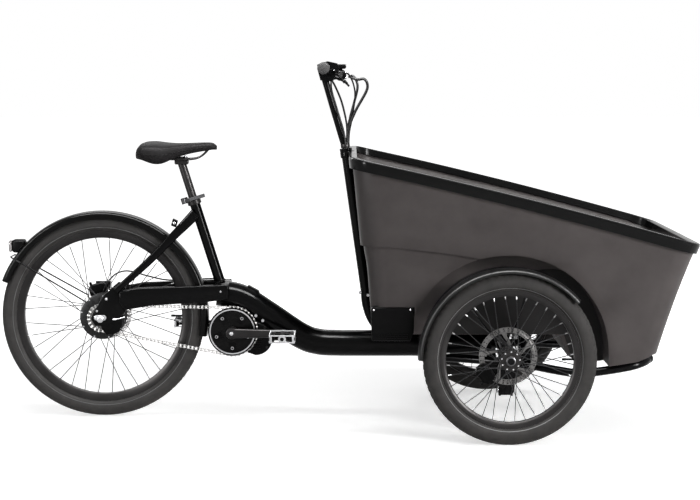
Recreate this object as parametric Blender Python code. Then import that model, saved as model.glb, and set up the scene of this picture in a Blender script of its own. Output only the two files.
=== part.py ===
"""A leaning front-load cargo tricycle: frame, box, tilt linkage, steering, drive and wheels.

+X is forward, +Y is the rider's left, +Z is up, in metres. Lengths called "ahead" are measured
forward from the rear axle, because the wheelbase and the frame are laid out from it.
"""

import math

import bmesh
import bpy
from mathutils import Matrix, Quaternion, Vector

# Gaps
GAP = 0.0003          # between pieces that touch
RUN = 0.0012          # running clearance beside something that turns
DEEP = 0.004          # how far a welded piece runs into its neighbour

# Reach of the whole machine from the rear axle
REAR_REACH = 0.331
WHEELBASE = 1.273
NOSE_REACH = 0.580
FRONT_REACH = WHEELBASE + NOSE_REACH
REAR_X = (REAR_REACH - FRONT_REACH) / 2

# Wheels
REAR_R = 0.3265
REAR_TYRE_W = 0.047
REAR_TYRE_H = 0.0485
REAR_FLANGE_R = REAR_R - REAR_TYRE_H
REAR_RIM_DEPTH = 0.024
FRONT_R = 0.2600
FRONT_TYRE_W = 0.047
FRONT_TYRE_H = 0.051
FRONT_FLANGE_R = FRONT_R - FRONT_TYRE_H
FRONT_RIM_DEPTH = 0.018
RIM_W = 0.027
TYRE_WALL = 0.0035
REAR_FACETS = 28
FRONT_FACETS = 24
SPOKES = 36
SPOKE_W = 0.0022
HALF_TRACK = 0.411
REAR_HUB_R = 0.072
REAR_HUB_HALF = 0.034
REAR_AXLE_R = 0.006
DROPOUT_Y = 0.066
DROPOUT_T = 0.007
ROTOR_T = 0.002
REAR_ROTOR_R = 0.084
REAR_ROTOR_Y = 0.046
FRONT_ROTOR_R = 0.088
FRONT_ROTOR_INSET = 0.052

# Rear mudguard
GUARD_GAP = 0.013
GUARD_HALF = 0.033
GUARD_SKIRT = 0.024
GUARD_T = 0.002
GUARD_FROM = -11.0
GUARD_TO = 160.0
GUARD_STEPS = 15
GUARD_R_OUT = REAR_R + GUARD_GAP + GUARD_T

# Drive
BB_AHEAD = GUARD_R_OUT + 0.078
BB_Z = 0.283
PITCH = 0.0127
RING_TEETH = 38
COG_TEETH = 20
CHAIN_Y = 0.047
CHAIN_H = 0.0085
CHAIN_W = 0.0085
TOOTH_T = 0.0024
CRANK = 0.165
CRANK_Y = 0.088
PEDAL_L = 0.095
PEDAL_W = 0.082
PEDAL_H = 0.028
GUARD_R = 0.078
MOTOR_HALF = 0.050
SPINDLE_R = 0.009

# Main tubes
BEAM_R = 0.042
SEAT_TUBE_R = 0.017
POST_R = 0.0136
CAM_R = 0.0062
COLUMN_R = 0.0165
MAST_R = 0.0111
HOOP_R = 0.0135
STAY_T = 0.018
STAY_Y = 0.067

# Front mudguards
FRONT_GUARD_GAP = 0.0125
FRONT_GUARD_HALF = 0.031
FRONT_GUARD_FROM = 41.0
FRONT_GUARD_TO = 180.0

# Tilt linkage under the box
LINK_LOW_Z = 0.140
LINK_HIGH_Z = 0.256
LINK_HALF = HALF_TRACK - 0.126
LINK_PIN_R = 0.008
LINK_H = 0.022
LINK_DEPTH = 0.030
KINGPIN_Y = HALF_TRACK - 0.093
KINGPIN_R = 0.0125

# Front suspension
STUB_R = 0.0075
STUB_SHOULDER = HALF_TRACK - FRONT_ROTOR_INSET - ROTOR_T / 2
HUB_OUT = 0.034
PLATE_IN = 0.020
BARREL_Z = (0.160, 0.236)
KNUCKLE_Y = (HALF_TRACK - 0.0710, HALF_TRACK - 0.0570)

# Cargo box
WALL = 0.005
BOX_BASE_Z = 0.222
BOX_FLOOR_Z = 0.305
BOX_REAR_LOW = 0.866
BOX_REAR_TOP = 0.803
BOX_FRONT_LOW = WHEELBASE + 0.444
BOX_FRONT_TOP = WHEELBASE + 0.565
BOX_HALF_LOW = 0.340
BOX_HALF_TOP = 0.402
RIM_Z_REAR = 0.853
RIM_Z_MID = 0.733
RIM_Z_FRONT = 0.595
ARCH_R = 0.306
WELL_Y = HALF_TRACK - 0.175
FOOTWELL_AHEAD = WHEELBASE + 0.179
CREASE = ((0.914, 0.591), (WHEELBASE - 0.173, 0.569), (WHEELBASE - 0.038, 0.548))
CREASE_IN = 0.014
CAP_OUT = 0.010
CAP_IN = 0.010
CAP_H = 0.030
CAP_TOP = 0.006
COVER_Y = 0.305
COVER_OUT = 0.028
COVER_TOP = 0.404
COVER_FRONT = 0.990
BATTERY = (0.874, 0.980)
BATTERY_Z = (0.318, 0.396)
BATTERY_IN = 0.140

# Steering
STEER_TOP = (0.7825, 0.868)
STEER_LOW = (0.8465, 0.413)
BAR_HALF = 0.330
BAR_R = 0.0111
GRIP_R = 0.0165
GRIP_L = 0.125
GRIP_AHEAD = 0.7165
BAR_Z = 1.1215
STEM_AHEAD = 0.7665
STEM_Z = 1.100

# Outline of the lever's clamp housing round the bar, and how far its sides lie inboard of the clamp
HOUSING = ((-0.0206, 0.011), (0.011, 0.0215), (0.0385, 0.0155), (0.047, 0.002), (0.041, -0.012),
           (0.0254, -0.041), (-0.0107, -0.037), (-0.0185, -0.009))
HOUSING_Y = (0.008, 0.0295)

# Seat
RAIL_R = 0.0035


def at(ahead, side, height):
    """A point given by its distance ahead of the rear axle."""
    return Vector((REAR_X + ahead, side, height))


REAR_AXLE = at(0, 0, REAR_R)
BB = at(BB_AHEAD, 0, BB_Z)
FRONT_AXLE = at(WHEELBASE, 0, FRONT_R)
BAR_CENTRE = at(STEM_AHEAD, 0, STEM_Z)
RING_R = PITCH / 2 / math.sin(math.pi / RING_TEETH)
COG_R = PITCH / 2 / math.sin(math.pi / COG_TEETH)
X_AXIS = Vector((1, 0, 0))
Y_AXIS = Vector((0, 1, 0))
Z_AXIS = Vector((0, 0, 1))

MATERIALS = {}
PIVOTS = {}


def material(name, colour, roughness, metallic=0.0):
    made = bpy.data.materials.new(name)
    made.use_nodes = True
    shader = made.node_tree.nodes["Principled BSDF"]
    shader.inputs["Base Color"].default_value = (*colour, 1.0)
    shader.inputs["Roughness"].default_value = roughness
    shader.inputs["Metallic"].default_value = metallic
    MATERIALS[name] = made


def make_materials():
    material("frame_black", (0.012, 0.012, 0.013), 0.30)
    material("box_grey", (0.090, 0.082, 0.080), 0.45)
    material("trim_black", (0.010, 0.010, 0.010), 0.28)
    material("rubber", (0.035, 0.035, 0.036), 0.75)
    material("alloy_black", (0.018, 0.018, 0.019), 0.35, 0.6)
    material("steel", (0.42, 0.42, 0.43), 0.32, 1.0)
    material("chain_steel", (0.30, 0.29, 0.27), 0.38, 1.0)
    material("plastic_black", (0.016, 0.016, 0.016), 0.5)
    material("saddle_skin", (0.030, 0.025, 0.023), 0.6)
    material("grip_rubber", (0.055, 0.055, 0.055), 0.8)
    material("lens_grey", (0.40, 0.38, 0.38), 0.15)


# Shapes. Each returns a mesh object in world space, which part() joins and names.


def solid(points, faces):
    """A closed mesh from its corners and faces, with the faces turned outward."""
    mesh = bpy.data.meshes.new("shape")
    shape = bmesh.new()
    corners = [shape.verts.new(p) for p in points]
    for face in faces:
        shape.faces.new([corners[i] for i in face])
    bmesh.ops.recalc_face_normals(shape, faces=shape.faces)
    shape.to_mesh(mesh)
    shape.free()
    made = bpy.data.objects.new("shape", mesh)
    bpy.context.scene.collection.objects.link(made)
    return made


def skin(rings, closed=False, bowed=False):
    """Skins rings of equal count, with flat ends unless the rings close on themselves. A bowed end is
    filled in strips between the points that mirror each other."""
    count = len(rings[0])
    points = [p for ring in rings for p in ring]
    faces = []
    spans = len(rings) if closed else len(rings) - 1
    for i in range(spans):
        a = i * count
        b = (i + 1) % len(rings) * count
        for j in range(count):
            k = (j + 1) % count
            faces.append((a + j, a + k, b + k, b + j))
    if bowed:
        for first in (0, len(points) - count):
            for i in range(count // 2 - 1):
                faces.append((first + i, first + i + 1, first + count - 2 - i, first + count - 1 - i))
    elif not closed:
        faces.append(tuple(range(count)))
        faces.append(tuple(range(len(points) - count, len(points))))
    return solid(points, faces)


def smooth_path(points, steps):
    """Points on a Catmull-Rom curve through the given ones, steps to each span."""
    points = [Vector(p) for p in points]
    ends = [points[0] * 2 - points[1], *points, points[-1] * 2 - points[-2]]
    made = []
    for i in range(len(points) - 1):
        p0, p1, p2, p3 = ends[i : i + 4]
        for j in range(steps):
            t = j / steps
            made.append(
                (p1 * 2 + (p2 - p0) * t + (p0 * 2 - p1 * 5 + p2 * 4 - p3) * t * t
                 + (p1 * 3 - p0 - p2 * 3 + p3) * t ** 3) / 2
            )
    made.append(points[-1])
    return made


def tangents(path, closed=False):
    made = []
    last = len(path) - 1
    for i in range(len(path)):
        before = path[i - 1] if i or closed else path[0]
        after = path[(i + 1) % len(path)] if i < last or closed else path[last]
        made.append((after - before).normalized())
    return made


def sweep(path, section, side=None, closed=False, scale=None):
    """Sweeps a flat section along a path. Its first axis stays near side, or turns as little as it can."""
    path = [Vector(p) for p in path]
    along = tangents(path, closed)
    across = side or (Y_AXIS if abs(along[0].y) < 0.8 else X_AXIS)
    rings = []
    for i, point in enumerate(path):
        reference = side if side else across
        u = (reference - along[i] * reference.dot(along[i])).normalized()
        v = along[i].cross(u)
        across = u
        k = scale(i / (len(path) - 1)) if scale else (1, 1)
        rings.append([point + u * (a * k[0]) + v * (b * k[1]) for a, b in section])
    return skin(rings, closed)


def circle(radius, count, turn=0.0):
    step = 2 * math.pi / count
    return [(radius * math.cos(step * i + turn), radius * math.sin(step * i + turn)) for i in range(count)]


def rounded(width, height, radius, count=3):
    """A rounded rectangle about its centre, count points to a corner."""
    made = []
    for quarter in range(4):
        angle = math.pi / 2 * quarter
        cx = (width / 2 - radius) * (1 if quarter in (0, 3) else -1)
        cy = (height / 2 - radius) * (1 if quarter in (0, 1) else -1)
        for i in range(count):
            a = angle + math.pi / 2 * i / max(count - 1, 1)
            made.append((cx + radius * math.cos(a), cy + radius * math.sin(a)))
    return made


def tube(path, radius, sides=10, side=None, scale=None):
    return sweep(path, circle(radius, sides, math.pi / sides), side, scale=scale)


def rod(start, end, radius, sides=12):
    return tube([start, end], radius, sides)


def turned(profile, centre, axis=Y_AXIS, facets=24, flat_down=True):
    """Turns (along, radius) points about an axis. A profile that starts and ends on the axis is solid."""
    axis = axis.normalized()
    first = Z_AXIS if abs(axis.z) < 0.9 else X_AXIS
    first = (first - axis * first.dot(axis)).normalized()
    second = axis.cross(first)
    turn = math.pi / facets if flat_down else 0.0
    solid_core = profile[0][1] < 1e-9 and profile[-1][1] < 1e-9
    body = profile[1:-1] if solid_core else profile
    points = []
    for i in range(facets):
        a = 2 * math.pi * i / facets + turn
        out = first * math.cos(a) + second * math.sin(a)
        points += [centre + axis * h + out * r for h, r in body]
    count = len(body)
    faces = []
    for i in range(facets):
        a = i * count
        b = (i + 1) % facets * count
        for j in range(count - 1 if solid_core else count):
            k = (j + 1) % count
            faces.append((a + j, a + k, b + k, b + j))
    if solid_core:
        faces.append(tuple(i * count for i in range(facets)))
        faces.append(tuple(i * count + count - 1 for i in range(facets)))
    return solid(points, faces)


def prism(outline, low, high, axis="y"):
    """A flat outline of (ahead, height) points, or (ahead, side) with axis z, pushed from low to high."""
    if axis == "y":
        rings = [[at(a, level, h) for a, h in outline] for level in (low, high)]
    elif axis == "z":
        rings = [[at(a, s, level) for a, s in outline] for level in (low, high)]
    else:
        rings = [[at(level, s, h) for s, h in outline] for level in (low, high)]
    return skin(rings)


def block(low, high, bevel=0.0):
    """A box between two corners, with its edges bevelled."""
    low, high = Vector(low), Vector(high)
    made = skin([[Vector((x, y, z)) for x, y in ((low.x, low.y), (high.x, low.y), (high.x, high.y),
                                                 (low.x, high.y))]
                 for z in (low.z, high.z)])
    if bevel:
        shape = bmesh.new()
        shape.from_mesh(made.data)
        bmesh.ops.bevel(shape, geom=shape.edges[:], offset=bevel, segments=1, affect="EDGES")
        shape.to_mesh(made.data)
        shape.free()
    return made


def turn_about(shape, centre, axis, degrees):
    spin = Quaternion(axis, math.radians(degrees)).to_matrix().to_4x4()
    shape.data.transform(Matrix.Translation(centre) @ spin @ Matrix.Translation(-centre))
    return shape


def bundle(shapes):
    """Separate shapes put in one mesh, for a cut or a join in one step."""
    base = shapes[0]
    shape = bmesh.new()
    for other in shapes:
        shape.from_mesh(other.data)
    shape.to_mesh(base.data)
    shape.free()
    for other in shapes[1:]:
        bpy.data.objects.remove(other)
    return base


def combine(target, tool, operation):
    """Joins, cuts or intersects target with tool, which is used up."""
    change = target.modifiers.new("combine", "BOOLEAN")
    change.operation = operation
    change.solver = "EXACT"
    change.object = tool
    graph = bpy.context.evaluated_depsgraph_get()
    result = bpy.data.meshes.new_from_object(target.evaluated_get(graph))
    target.modifiers.clear()
    target.data = result
    bpy.data.objects.remove(tool)
    return target


def join(shapes):
    whole = shapes[0]
    for other in shapes[1:]:
        whole = combine(whole, other, "UNION")
    return whole


def cut(target, tools):
    for tool in tools:
        target = combine(target, tool, "DIFFERENCE")
    return target


def mirrored(shape):
    """The shape on the other side of the middle plane."""
    other = bpy.data.objects.new("shape", shape.data.copy())
    bpy.context.scene.collection.objects.link(other)
    flip = bmesh.new()
    flip.from_mesh(other.data)
    bmesh.ops.scale(flip, vec=(1, -1, 1), verts=flip.verts)
    bmesh.ops.reverse_faces(flip, faces=flip.faces)
    flip.to_mesh(other.data)
    flip.free()
    return other


def pivot(body, place):
    """An empty on a moving body's joint axis."""
    made = bpy.data.objects.new(body + "_pivot", None)
    made.location = place
    bpy.context.scene.collection.objects.link(made)
    PIVOTS[body] = made


def part(name, shape, finish, body=None):
    """Names a finished shape, cleans its seams and hangs it on its body's pivot."""
    tidy = bmesh.new()
    tidy.from_mesh(shape.data)
    bmesh.ops.remove_doubles(tidy, verts=tidy.verts, dist=2e-6)
    bmesh.ops.dissolve_degenerate(tidy, edges=tidy.edges, dist=2e-6)
    bmesh.ops.delete(tidy, geom=[e for e in tidy.edges if not e.link_faces], context="EDGES")
    bmesh.ops.delete(tidy, geom=[v for v in tidy.verts if not v.link_edges], context="VERTS")
    tidy.to_mesh(shape.data)
    tidy.free()
    shape.name = name
    shape.data.name = name
    shape.data.materials.clear()
    shape.data.materials.append(MATERIALS[finish])
    shape.data.shade_smooth()
    shape.data.set_sharp_from_angle(angle=math.radians(32))
    if body:
        shape.parent = PIVOTS[body]
        shape.matrix_parent_inverse = Matrix.Translation(-PIVOTS[body].location)
    return shape


# Routes of the main tubes, as (ahead, height) in the middle plane

BEAM_ROUTE = [(GUARD_R_OUT + 0.0305, 0.402), (GUARD_R_OUT + 0.1045, 0.386), (GUARD_R_OUT + 0.1905, 0.332),
              (GUARD_R_OUT + 0.2945, 0.262), (GUARD_R_OUT + 0.3555, 0.241), (GUARD_R_OUT + 0.4285, 0.237),
              (1.000, 0.237), (WHEELBASE - 0.0353, 0.237)]
SEAT_TUBE_LOW = (GUARD_R_OUT + 0.0425, 0.415)
SEAT_TUBE_TOP = (0.2934, 0.707)
COLUMN_ROUTE = [STEER_TOP, STEER_LOW, (0.852, 0.362), (0.871, 0.312), (0.912, 0.262)]
HOOP_ROUTE = [(WHEELBASE + lead, out, height) for lead, out, height in
              ((-0.253, 0.030, 0.200), (-0.073, 0.112, 0.203), (0.072, 0.198, 0.203), (0.157, 0.236, 0.194),
               (0.214, 0.254, 0.188), (0.257, 0.264, 0.190), (0.367, 0.270, 0.208), (0.417, 0.256, 0.218),
               (0.445, 0.222, 0.2235), (0.455, 0.172, 0.226))]


def middle(route):
    return [at(a, 0, h) for a, h in route]


def beam_path():
    return smooth_path(middle(BEAM_ROUTE)[:6], 2) + middle(BEAM_ROUTE)[7:]


def column_path():
    top, low, *rest = middle(COLUMN_ROUTE)
    bend = smooth_path([low, *rest], 2)
    return [top, *bend]


def seat_tube_axis():
    low, top = at(SEAT_TUBE_LOW[0], 0, SEAT_TUBE_LOW[1]), at(SEAT_TUBE_TOP[0], 0, SEAT_TUBE_TOP[1])
    return low, top, (top - low).normalized()


def steer_axis():
    top, low = at(STEER_TOP[0], 0, STEER_TOP[1]), at(STEER_LOW[0], 0, STEER_LOW[1])
    return top, (top - low).normalized()


# Frame

YOKE = (GUARD_R_OUT + 0.0245, GUARD_R_OUT + 0.0685)
YOKE_Z = (0.390, 0.438)
MAST_INSERT = 0.060
POST_INSERT = 0.200
BEARER_AHEAD = 1.030


def main_frame():
    """Beam, seat tube, steering column and yoke, welded in one."""
    low, top, up = seat_tube_axis()
    steer_top, steer_up = steer_axis()
    beam = tube(beam_path(), BEAM_R, 12, Y_AXIS)
    column = tube(column_path(), COLUMN_R, 10, Y_AXIS)
    seat_tube = rod(low, top, SEAT_TUBE_R, 12)
    yoke = block(at(YOKE[0], -STAY_Y + STAY_T / 2, YOKE_Z[0]), at(YOKE[1], STAY_Y - STAY_T / 2, YOKE_Z[1]),
                 0.006)
    wedge = prism([(GUARD_R_OUT + 0.1205, 0.400), (GUARD_R_OUT + 0.1265, 0.4275),
                   (GUARD_R_OUT + 0.1615, 0.408), (GUARD_R_OUT + 0.1685, 0.380)], -0.013, 0.013)
    bearer = block(at(BEARER_AHEAD - 0.02, -0.20, BOX_FLOOR_Z - 0.034),
                   at(BEARER_AHEAD + 0.02, 0.20, BOX_FLOOR_Z - GAP))
    head = turned([(-0.030, 0), (-0.030, COLUMN_R + 0.0035), (0.0, COLUMN_R + 0.0035), (0.0, 0)],
                  steer_top, steer_up, 14)
    tab = block(at(YOKE[0] - 0.046, -0.012, 0.404), at(YOKE[0] + 0.006, 0.012, 0.416))
    step = (GUARD_TO - GUARD_FROM) / GUARD_STEPS
    turns = [math.radians(GUARD_FROM + step * i) for i in range(5)]
    reach = GUARD_R_OUT + GAP
    guard_clear = prism([(0, REAR_R)] + [(reach * math.cos(a),
                                          REAR_R + reach * math.sin(a)) for a in turns], -0.05, 0.05)
    frame = join([beam, column, seat_tube, yoke, wedge, bearer, head, cut(tab, [guard_clear])])
    post_bore = rod(top - up * POST_INSERT, top + up * 0.02, POST_R + GAP, 12)
    mast_bore = rod(steer_top - steer_up * (MAST_INSERT + 0.004), steer_top + steer_up * 0.02,
                    MAST_R + 0.0008, 12)
    part("main_frame", cut(frame, [post_bore, mast_bore]), "frame_black")


def rear_frame():
    """Chainstay, seat stay and dropout of one side, and the same on the other."""
    low, top, up = seat_tube_axis()
    half = STAY_T / 2
    axle = REAR_R
    stay = prism([(0.060, axle + 0.0535), (0.060, axle + 0.0890), (0.1225, axle + 0.1005),
                  (YOKE[0] - 0.036, YOKE_Z[1] - 0.0035), (YOKE[1], YOKE_Z[1]), (YOKE[1], YOKE_Z[0]),
                  (YOKE[0] - 0.0285, YOKE_Z[0] - 0.009), (0.1665, axle + 0.0435), (0.0775, axle + 0.0285)],
                 -STAY_Y - half, -STAY_Y + half)
    bevel_edges(stay, 0.004)
    route = [at(0.302, -0.019, 0.659), at(0.268, -0.036, 0.624), at(0.236, -0.047, 0.592),
             at(0.150, -0.057, axle + 0.1785), at(0.050, -STAY_Y, axle + 0.0895)]
    seat_stay = sweep(route, rounded(0.036, 0.016, 0.005, 2), Vector((0.7, 0, -0.7)),
                      scale=lambda t: (1 - 0.45 * t, 1))
    plate = prism([(0.075, axle + 0.0935), (0.082, axle + 0.0255), (0.035, axle - 0.0145),
                   (-0.018, axle - 0.0225), (-0.030, axle - 0.0005), (-0.016, axle + 0.0315),
                   (0.010, axle + 0.0755), (0.040, axle + 0.1015)], -DROPOUT_Y - DROPOUT_T / 2,
                  -DROPOUT_Y + DROPOUT_T / 2)
    side = join([stay, seat_stay, plate])
    other = mirrored(side)
    lug = block(at(-0.034, DROPOUT_Y - DROPOUT_T / 2 - 0.0012, axle + 0.0615),
                at(0.014, DROPOUT_Y + DROPOUT_T / 2 - 0.001, axle + 0.1045))
    other = join([other, lug])
    for name, shape, sign in (("rear_frame_right", side, -1), ("rear_frame_left", other, 1)):
        seat_clear = rod(low - up * 0.02, top + up * 0.03, SEAT_TUBE_R + GAP, 12)
        axle_hole = rod(at(0, sign * 0.04, REAR_R), at(0, sign * 0.10, REAR_R), REAR_AXLE_R + GAP, 12)
        yoke_clear = block(at(YOKE[0] - 0.01, -STAY_Y + half - GAP, YOKE_Z[0] - 0.01),
                           at(YOKE[1] + 0.02, STAY_Y - half + GAP, YOKE_Z[1] + 0.01))
        part(name, cut(shape, [seat_clear, axle_hole, yoke_clear]), "frame_black")


def bevel_edges(shape, width):
    """Softens every edge of a simple shape in place."""
    soft = bmesh.new()
    soft.from_mesh(shape.data)
    sharp = [e for e in soft.edges if e.calc_face_angle(0) > math.radians(50)]
    bmesh.ops.bevel(soft, geom=sharp, offset=width, segments=1, affect="EDGES")
    soft.to_mesh(shape.data)
    soft.free()
    return shape


def front_hoop():
    """The bumper hoop that runs back under the box, and the bracket that carries the tilt pins."""
    right = [at(a, -s, h) for a, s, h in HOOP_ROUTE]
    left = [at(a, s, h) for a, s, h in reversed(HOOP_ROUTE)]
    hoop = tube(right + left, HOOP_R, 8, Z_AXIS)
    x = WHEELBASE
    cross = rod(at(x + 0.043, -0.176, 0.2035), at(x + 0.043, 0.176, 0.2035), 0.011, 8)
    plates = [block(at(x + s * 0.0275 - 0.0075, -0.028, LINK_LOW_Z - 0.018),
                    at(x + s * 0.0275 + 0.0075, 0.028, LINK_HIGH_Z + 0.018)) for s in (-1, 1)]
    pins = [rod(at(x - 0.030, 0, z), at(x + 0.030, 0, z), LINK_PIN_R + 0.002, 8)
            for z in (LINK_LOW_Z, LINK_HIGH_Z)]
    bearer = block(at(x + 0.066, -0.190, 0.205), at(x + 0.088, 0.190, BOX_FLOOR_Z - GAP))
    whole = join([hoop, cross, *plates, *pins, bearer])
    beam_clear = tube(beam_path(), BEAM_R + GAP, 12, Y_AXIS)
    part("front_hoop", cut(whole, [beam_clear]), "frame_black")


# Cargo box


def rim_height(ahead):
    """The rim line seen from the side: a shallow crown that falls to the front."""
    t = (ahead - BOX_REAR_TOP) / (BOX_FRONT_TOP - BOX_REAR_TOP)
    bulge = RIM_Z_MID - (RIM_Z_REAR + RIM_Z_FRONT) / 2
    return RIM_Z_REAR + (RIM_Z_FRONT - RIM_Z_REAR) * t + 4 * bulge * t * (1 - t)


def plan_ring(level, inset, corner_points=3):
    """The box's outline at a level from 0, its base, to 1, its rim, drawn in by inset."""
    rear = BOX_REAR_LOW + (BOX_REAR_TOP - BOX_REAR_LOW) * level + inset
    front = BOX_FRONT_LOW + (BOX_FRONT_TOP - BOX_FRONT_LOW) * level - inset
    half = BOX_HALF_LOW + (BOX_HALF_TOP - BOX_HALF_LOW) * level * level - inset
    radius = 0.055 + 0.015 * level - inset
    outline = []
    for quarter, (sx, sy) in enumerate(((1, 1), (-1, 1), (-1, -1), (1, -1))):
        cx = (front if sx > 0 else rear) - sx * radius
        cy = sy * (half - radius)
        for i in range(corner_points):
            a = math.pi / 2 * (quarter + i / (corner_points - 1))
            outline.append((cx + radius * math.cos(a), cy + radius * math.sin(a)))
        if quarter in (0, 2):
            span = (front - rear) - 2 * radius
            start = outline[-1][0]
            for k in (1, 2, 3):
                outline.append((start - sx * span * k / 4, sy * half))
    base = BOX_BASE_Z - 0.02
    return [at(a, s, base + (rim_height(a) - base) * level) for a, s in outline]


def box_block(inset, levels):
    return skin([plan_ring(level, inset) for level in levels], bowed=True)


def underside(lift):
    """What lies below the floor, the step down to the footwell and the sloping nose."""
    outline = [(0.5, 0.0), (0.5, BOX_FLOOR_Z + lift), (FOOTWELL_AHEAD - 0.022 + lift, BOX_FLOOR_Z + lift),
               (FOOTWELL_AHEAD + lift, BOX_FLOOR_Z - 0.018 + lift / 2),
               (FOOTWELL_AHEAD + 0.010 + lift, 0.252 + lift / 2),
               (FOOTWELL_AHEAD + 0.028 + lift, BOX_BASE_Z + 0.010 + lift),
               (BOX_FRONT_LOW - 0.1505, BOX_BASE_Z + lift),
               (BOX_FRONT_LOW - 0.0505, BOX_BASE_Z + 0.016 + lift),
               (BOX_FRONT_LOW - 0.001, BOX_BASE_Z + 0.036 + lift),
               (BOX_FRONT_LOW + 0.233, BOX_BASE_Z + 0.060 + lift),
               (BOX_FRONT_LOW + 0.233, 0.0)]
    return prism(outline, -0.6, 0.6)


def wheel_well(side, grow):
    """The arch over one front wheel, cut in from the side."""
    radius = ARCH_R + grow
    outline = [(WHEELBASE + radius * math.cos(math.radians(a)),
                FRONT_R + radius * math.sin(math.radians(a)))
               for a in range(0, 181, 12)]
    outline += [(WHEELBASE - radius, 0.1), (WHEELBASE + radius + 0.006, 0.1)]
    return prism(outline, side * (WELL_Y - grow), side * 0.6)


def recess(grow):
    """What the sides and the back give up below the crease, so that they stand in under a soft ledge."""
    outline = [(0.70, 0.10), (0.70, CREASE[0][1] + grow)]
    outline += [(ahead, height + grow) for ahead, height in CREASE]
    outline += [(CREASE[-1][0], 0.10)]
    return cut(prism(outline, -0.6, 0.6), [box_block(CREASE_IN + grow, (0, 0.5, 1.0))])


def column_groove(grow):
    size = COLUMN_R + 0.0045 + grow
    path = column_path()
    steer_top, steer_up = steer_axis()
    return sweep([steer_top + steer_up * 0.1, *path], rounded(2 * size, 2 * size, size * 0.5, 2), Y_AXIS)


def cover_bay(side, grow):
    """The pocket that the service cover sits in."""
    return prism([(0.7, 0.15), (0.7, COVER_TOP + 0.001 + grow),
                  (COVER_FRONT + 0.002 + grow, COVER_TOP + 0.001 + grow),
                  (COVER_FRONT + 0.002 + grow, 0.15)], side * (COVER_Y - GAP - grow), side * 0.6)


def battery_bay(grow):
    return block(at(BATTERY[0] - 0.0007 - grow, -0.6, BATTERY_Z[0] - 0.0007 - 2 * grow),
                 at(BATTERY[1] + 0.0007 + grow, -BATTERY_IN + 0.002 + grow, BATTERY_Z[1] + 0.0007 + grow))


def box_tub():
    outer = box_block(0.0, (0, 0.5, 1.0))
    inner = box_block(WALL, (0, 0.5, 1.0, 1.06))
    for grow, shape in ((0.0, outer), (WALL, inner)):
        tools = [underside(grow and WALL + 0.001), column_groove(grow), battery_bay(grow), recess(grow)]
        for side in (-1, 1):
            tools += [wheel_well(side, grow), cover_bay(side, grow)]
        cut(shape, tools)
    part("box_tub", cut(outer, [inner]), "box_grey")


def box_rim():
    """A capping that straddles the top edge of the tub all round."""
    outer = plan_ring(1.0, 0.0)
    centre = sum(outer, Vector()) / len(outer)
    section = [(-CAP_OUT, CAP_TOP), (CAP_IN + WALL, CAP_TOP), (CAP_IN + WALL, -CAP_H * 0.6),
               (WALL / 2, -CAP_H * 0.6),
               (WALL / 2, CAP_TOP - CAP_H), (-CAP_OUT, CAP_TOP - CAP_H)]
    lower = plan_ring(0.5, 0.0)
    rings = []
    for i, point in enumerate(outer):
        before, after = outer[i - 1], outer[(i + 1) % len(outer)]
        down = (lower[i] - point) / (point.z - lower[i].z)
        along = (after - before).normalized()
        inward = Vector((-along.y, along.x, 0)).normalized()
        if inward.dot(centre - point) < 0:
            inward = -inward
        rings.append([point + inward * a + (Z_AXIS * b if b > 0 else down * -b) for a, b in section])
    wall = cut(box_block(-4 * GAP, (0, 0.5, 1.002)), [box_block(WALL + 4 * GAP, (0, 0.5, 1.0, 1.06))])
    part("box_rim", cut(skin(rings, closed=True), [wall, column_groove(WALL + GAP)]), "trim_black")


def service_covers():
    """The covers low on the box's flanks; the battery pack stands between them under the seat."""
    corner = 0.014
    outline = [(0.8625, BOX_FLOOR_Z - 0.004), (0.8600, COVER_TOP - 0.02), (0.8600, COVER_TOP),
               (COVER_FRONT - corner, COVER_TOP), (COVER_FRONT - corner * 0.3, COVER_TOP - corner * 0.3),
               (COVER_FRONT, COVER_TOP - corner), (COVER_FRONT, BOX_FLOOR_Z + 0.022),
               (COVER_FRONT - 0.012, BOX_FLOOR_Z - 0.004)]
    right = prism(outline, -COVER_Y - COVER_OUT, -COVER_Y)
    bevel_edges(right, 0.0025)
    hollow = prism([(0.872, BOX_FLOOR_Z + 0.004), (0.872, COVER_TOP - 0.008),
                    (COVER_FRONT - 0.016, COVER_TOP - 0.008),
                    (COVER_FRONT - 0.016, BOX_FLOOR_Z + 0.004)], -COVER_Y - COVER_OUT + 0.003,
                    -COVER_Y + 0.01)
    right = cut(right, [hollow])
    left = mirrored(right)
    part("service_cover_right", right, "plastic_black")
    part("service_cover_left", left, "plastic_black")


# Rear mudguard, its stay and the lamp


def guard_ring(radius, half, skirt, angle, centre, y0=0.0):
    """The section of a mudguard at one angle round its wheel: a deep skirt, or a shallow crown."""
    out = Vector((math.cos(angle), 0, math.sin(angle)))
    crown = half * 0.55
    if skirt < 0.02:
        section = [(-half, radius - skirt), (-crown, radius), (crown, radius), (half, radius - skirt),
                   (half - GUARD_T, radius - skirt - 0.001), (crown - 0.001, radius - GUARD_T),
                   (-crown + 0.001, radius - GUARD_T), (-half + GUARD_T, radius - skirt - 0.001)]
        return [centre + out * r + Y_AXIS * (y + y0) for y, r in section]
    section = [(-half, radius - skirt), (-half, radius - 0.008), (-crown, radius), (crown, radius),
               (half, radius - 0.008), (half, radius - skirt), (half - GUARD_T, radius - skirt),
               (half - GUARD_T, radius - 0.009), (crown - 0.001, radius - 0.0022),
               (-crown + 0.001, radius - 0.0022),
               (-half + GUARD_T, radius - 0.009), (-half + GUARD_T, radius - skirt)]
    return [centre + out * r + Y_AXIS * (y + y0) for y, r in section]


def mudguard(centre, radius, half, skirt, start, end, steps, y0=0.0, flare=0.0):
    rings = []
    for i in range(steps + 1):
        t = i / steps
        angle = math.radians(start + (end - start) * t)
        late = max(0.0, (t - 0.88) / 0.12)
        rings.append(guard_ring(radius + flare * late, half, skirt, angle, centre, y0))
    return skin(rings)


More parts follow.
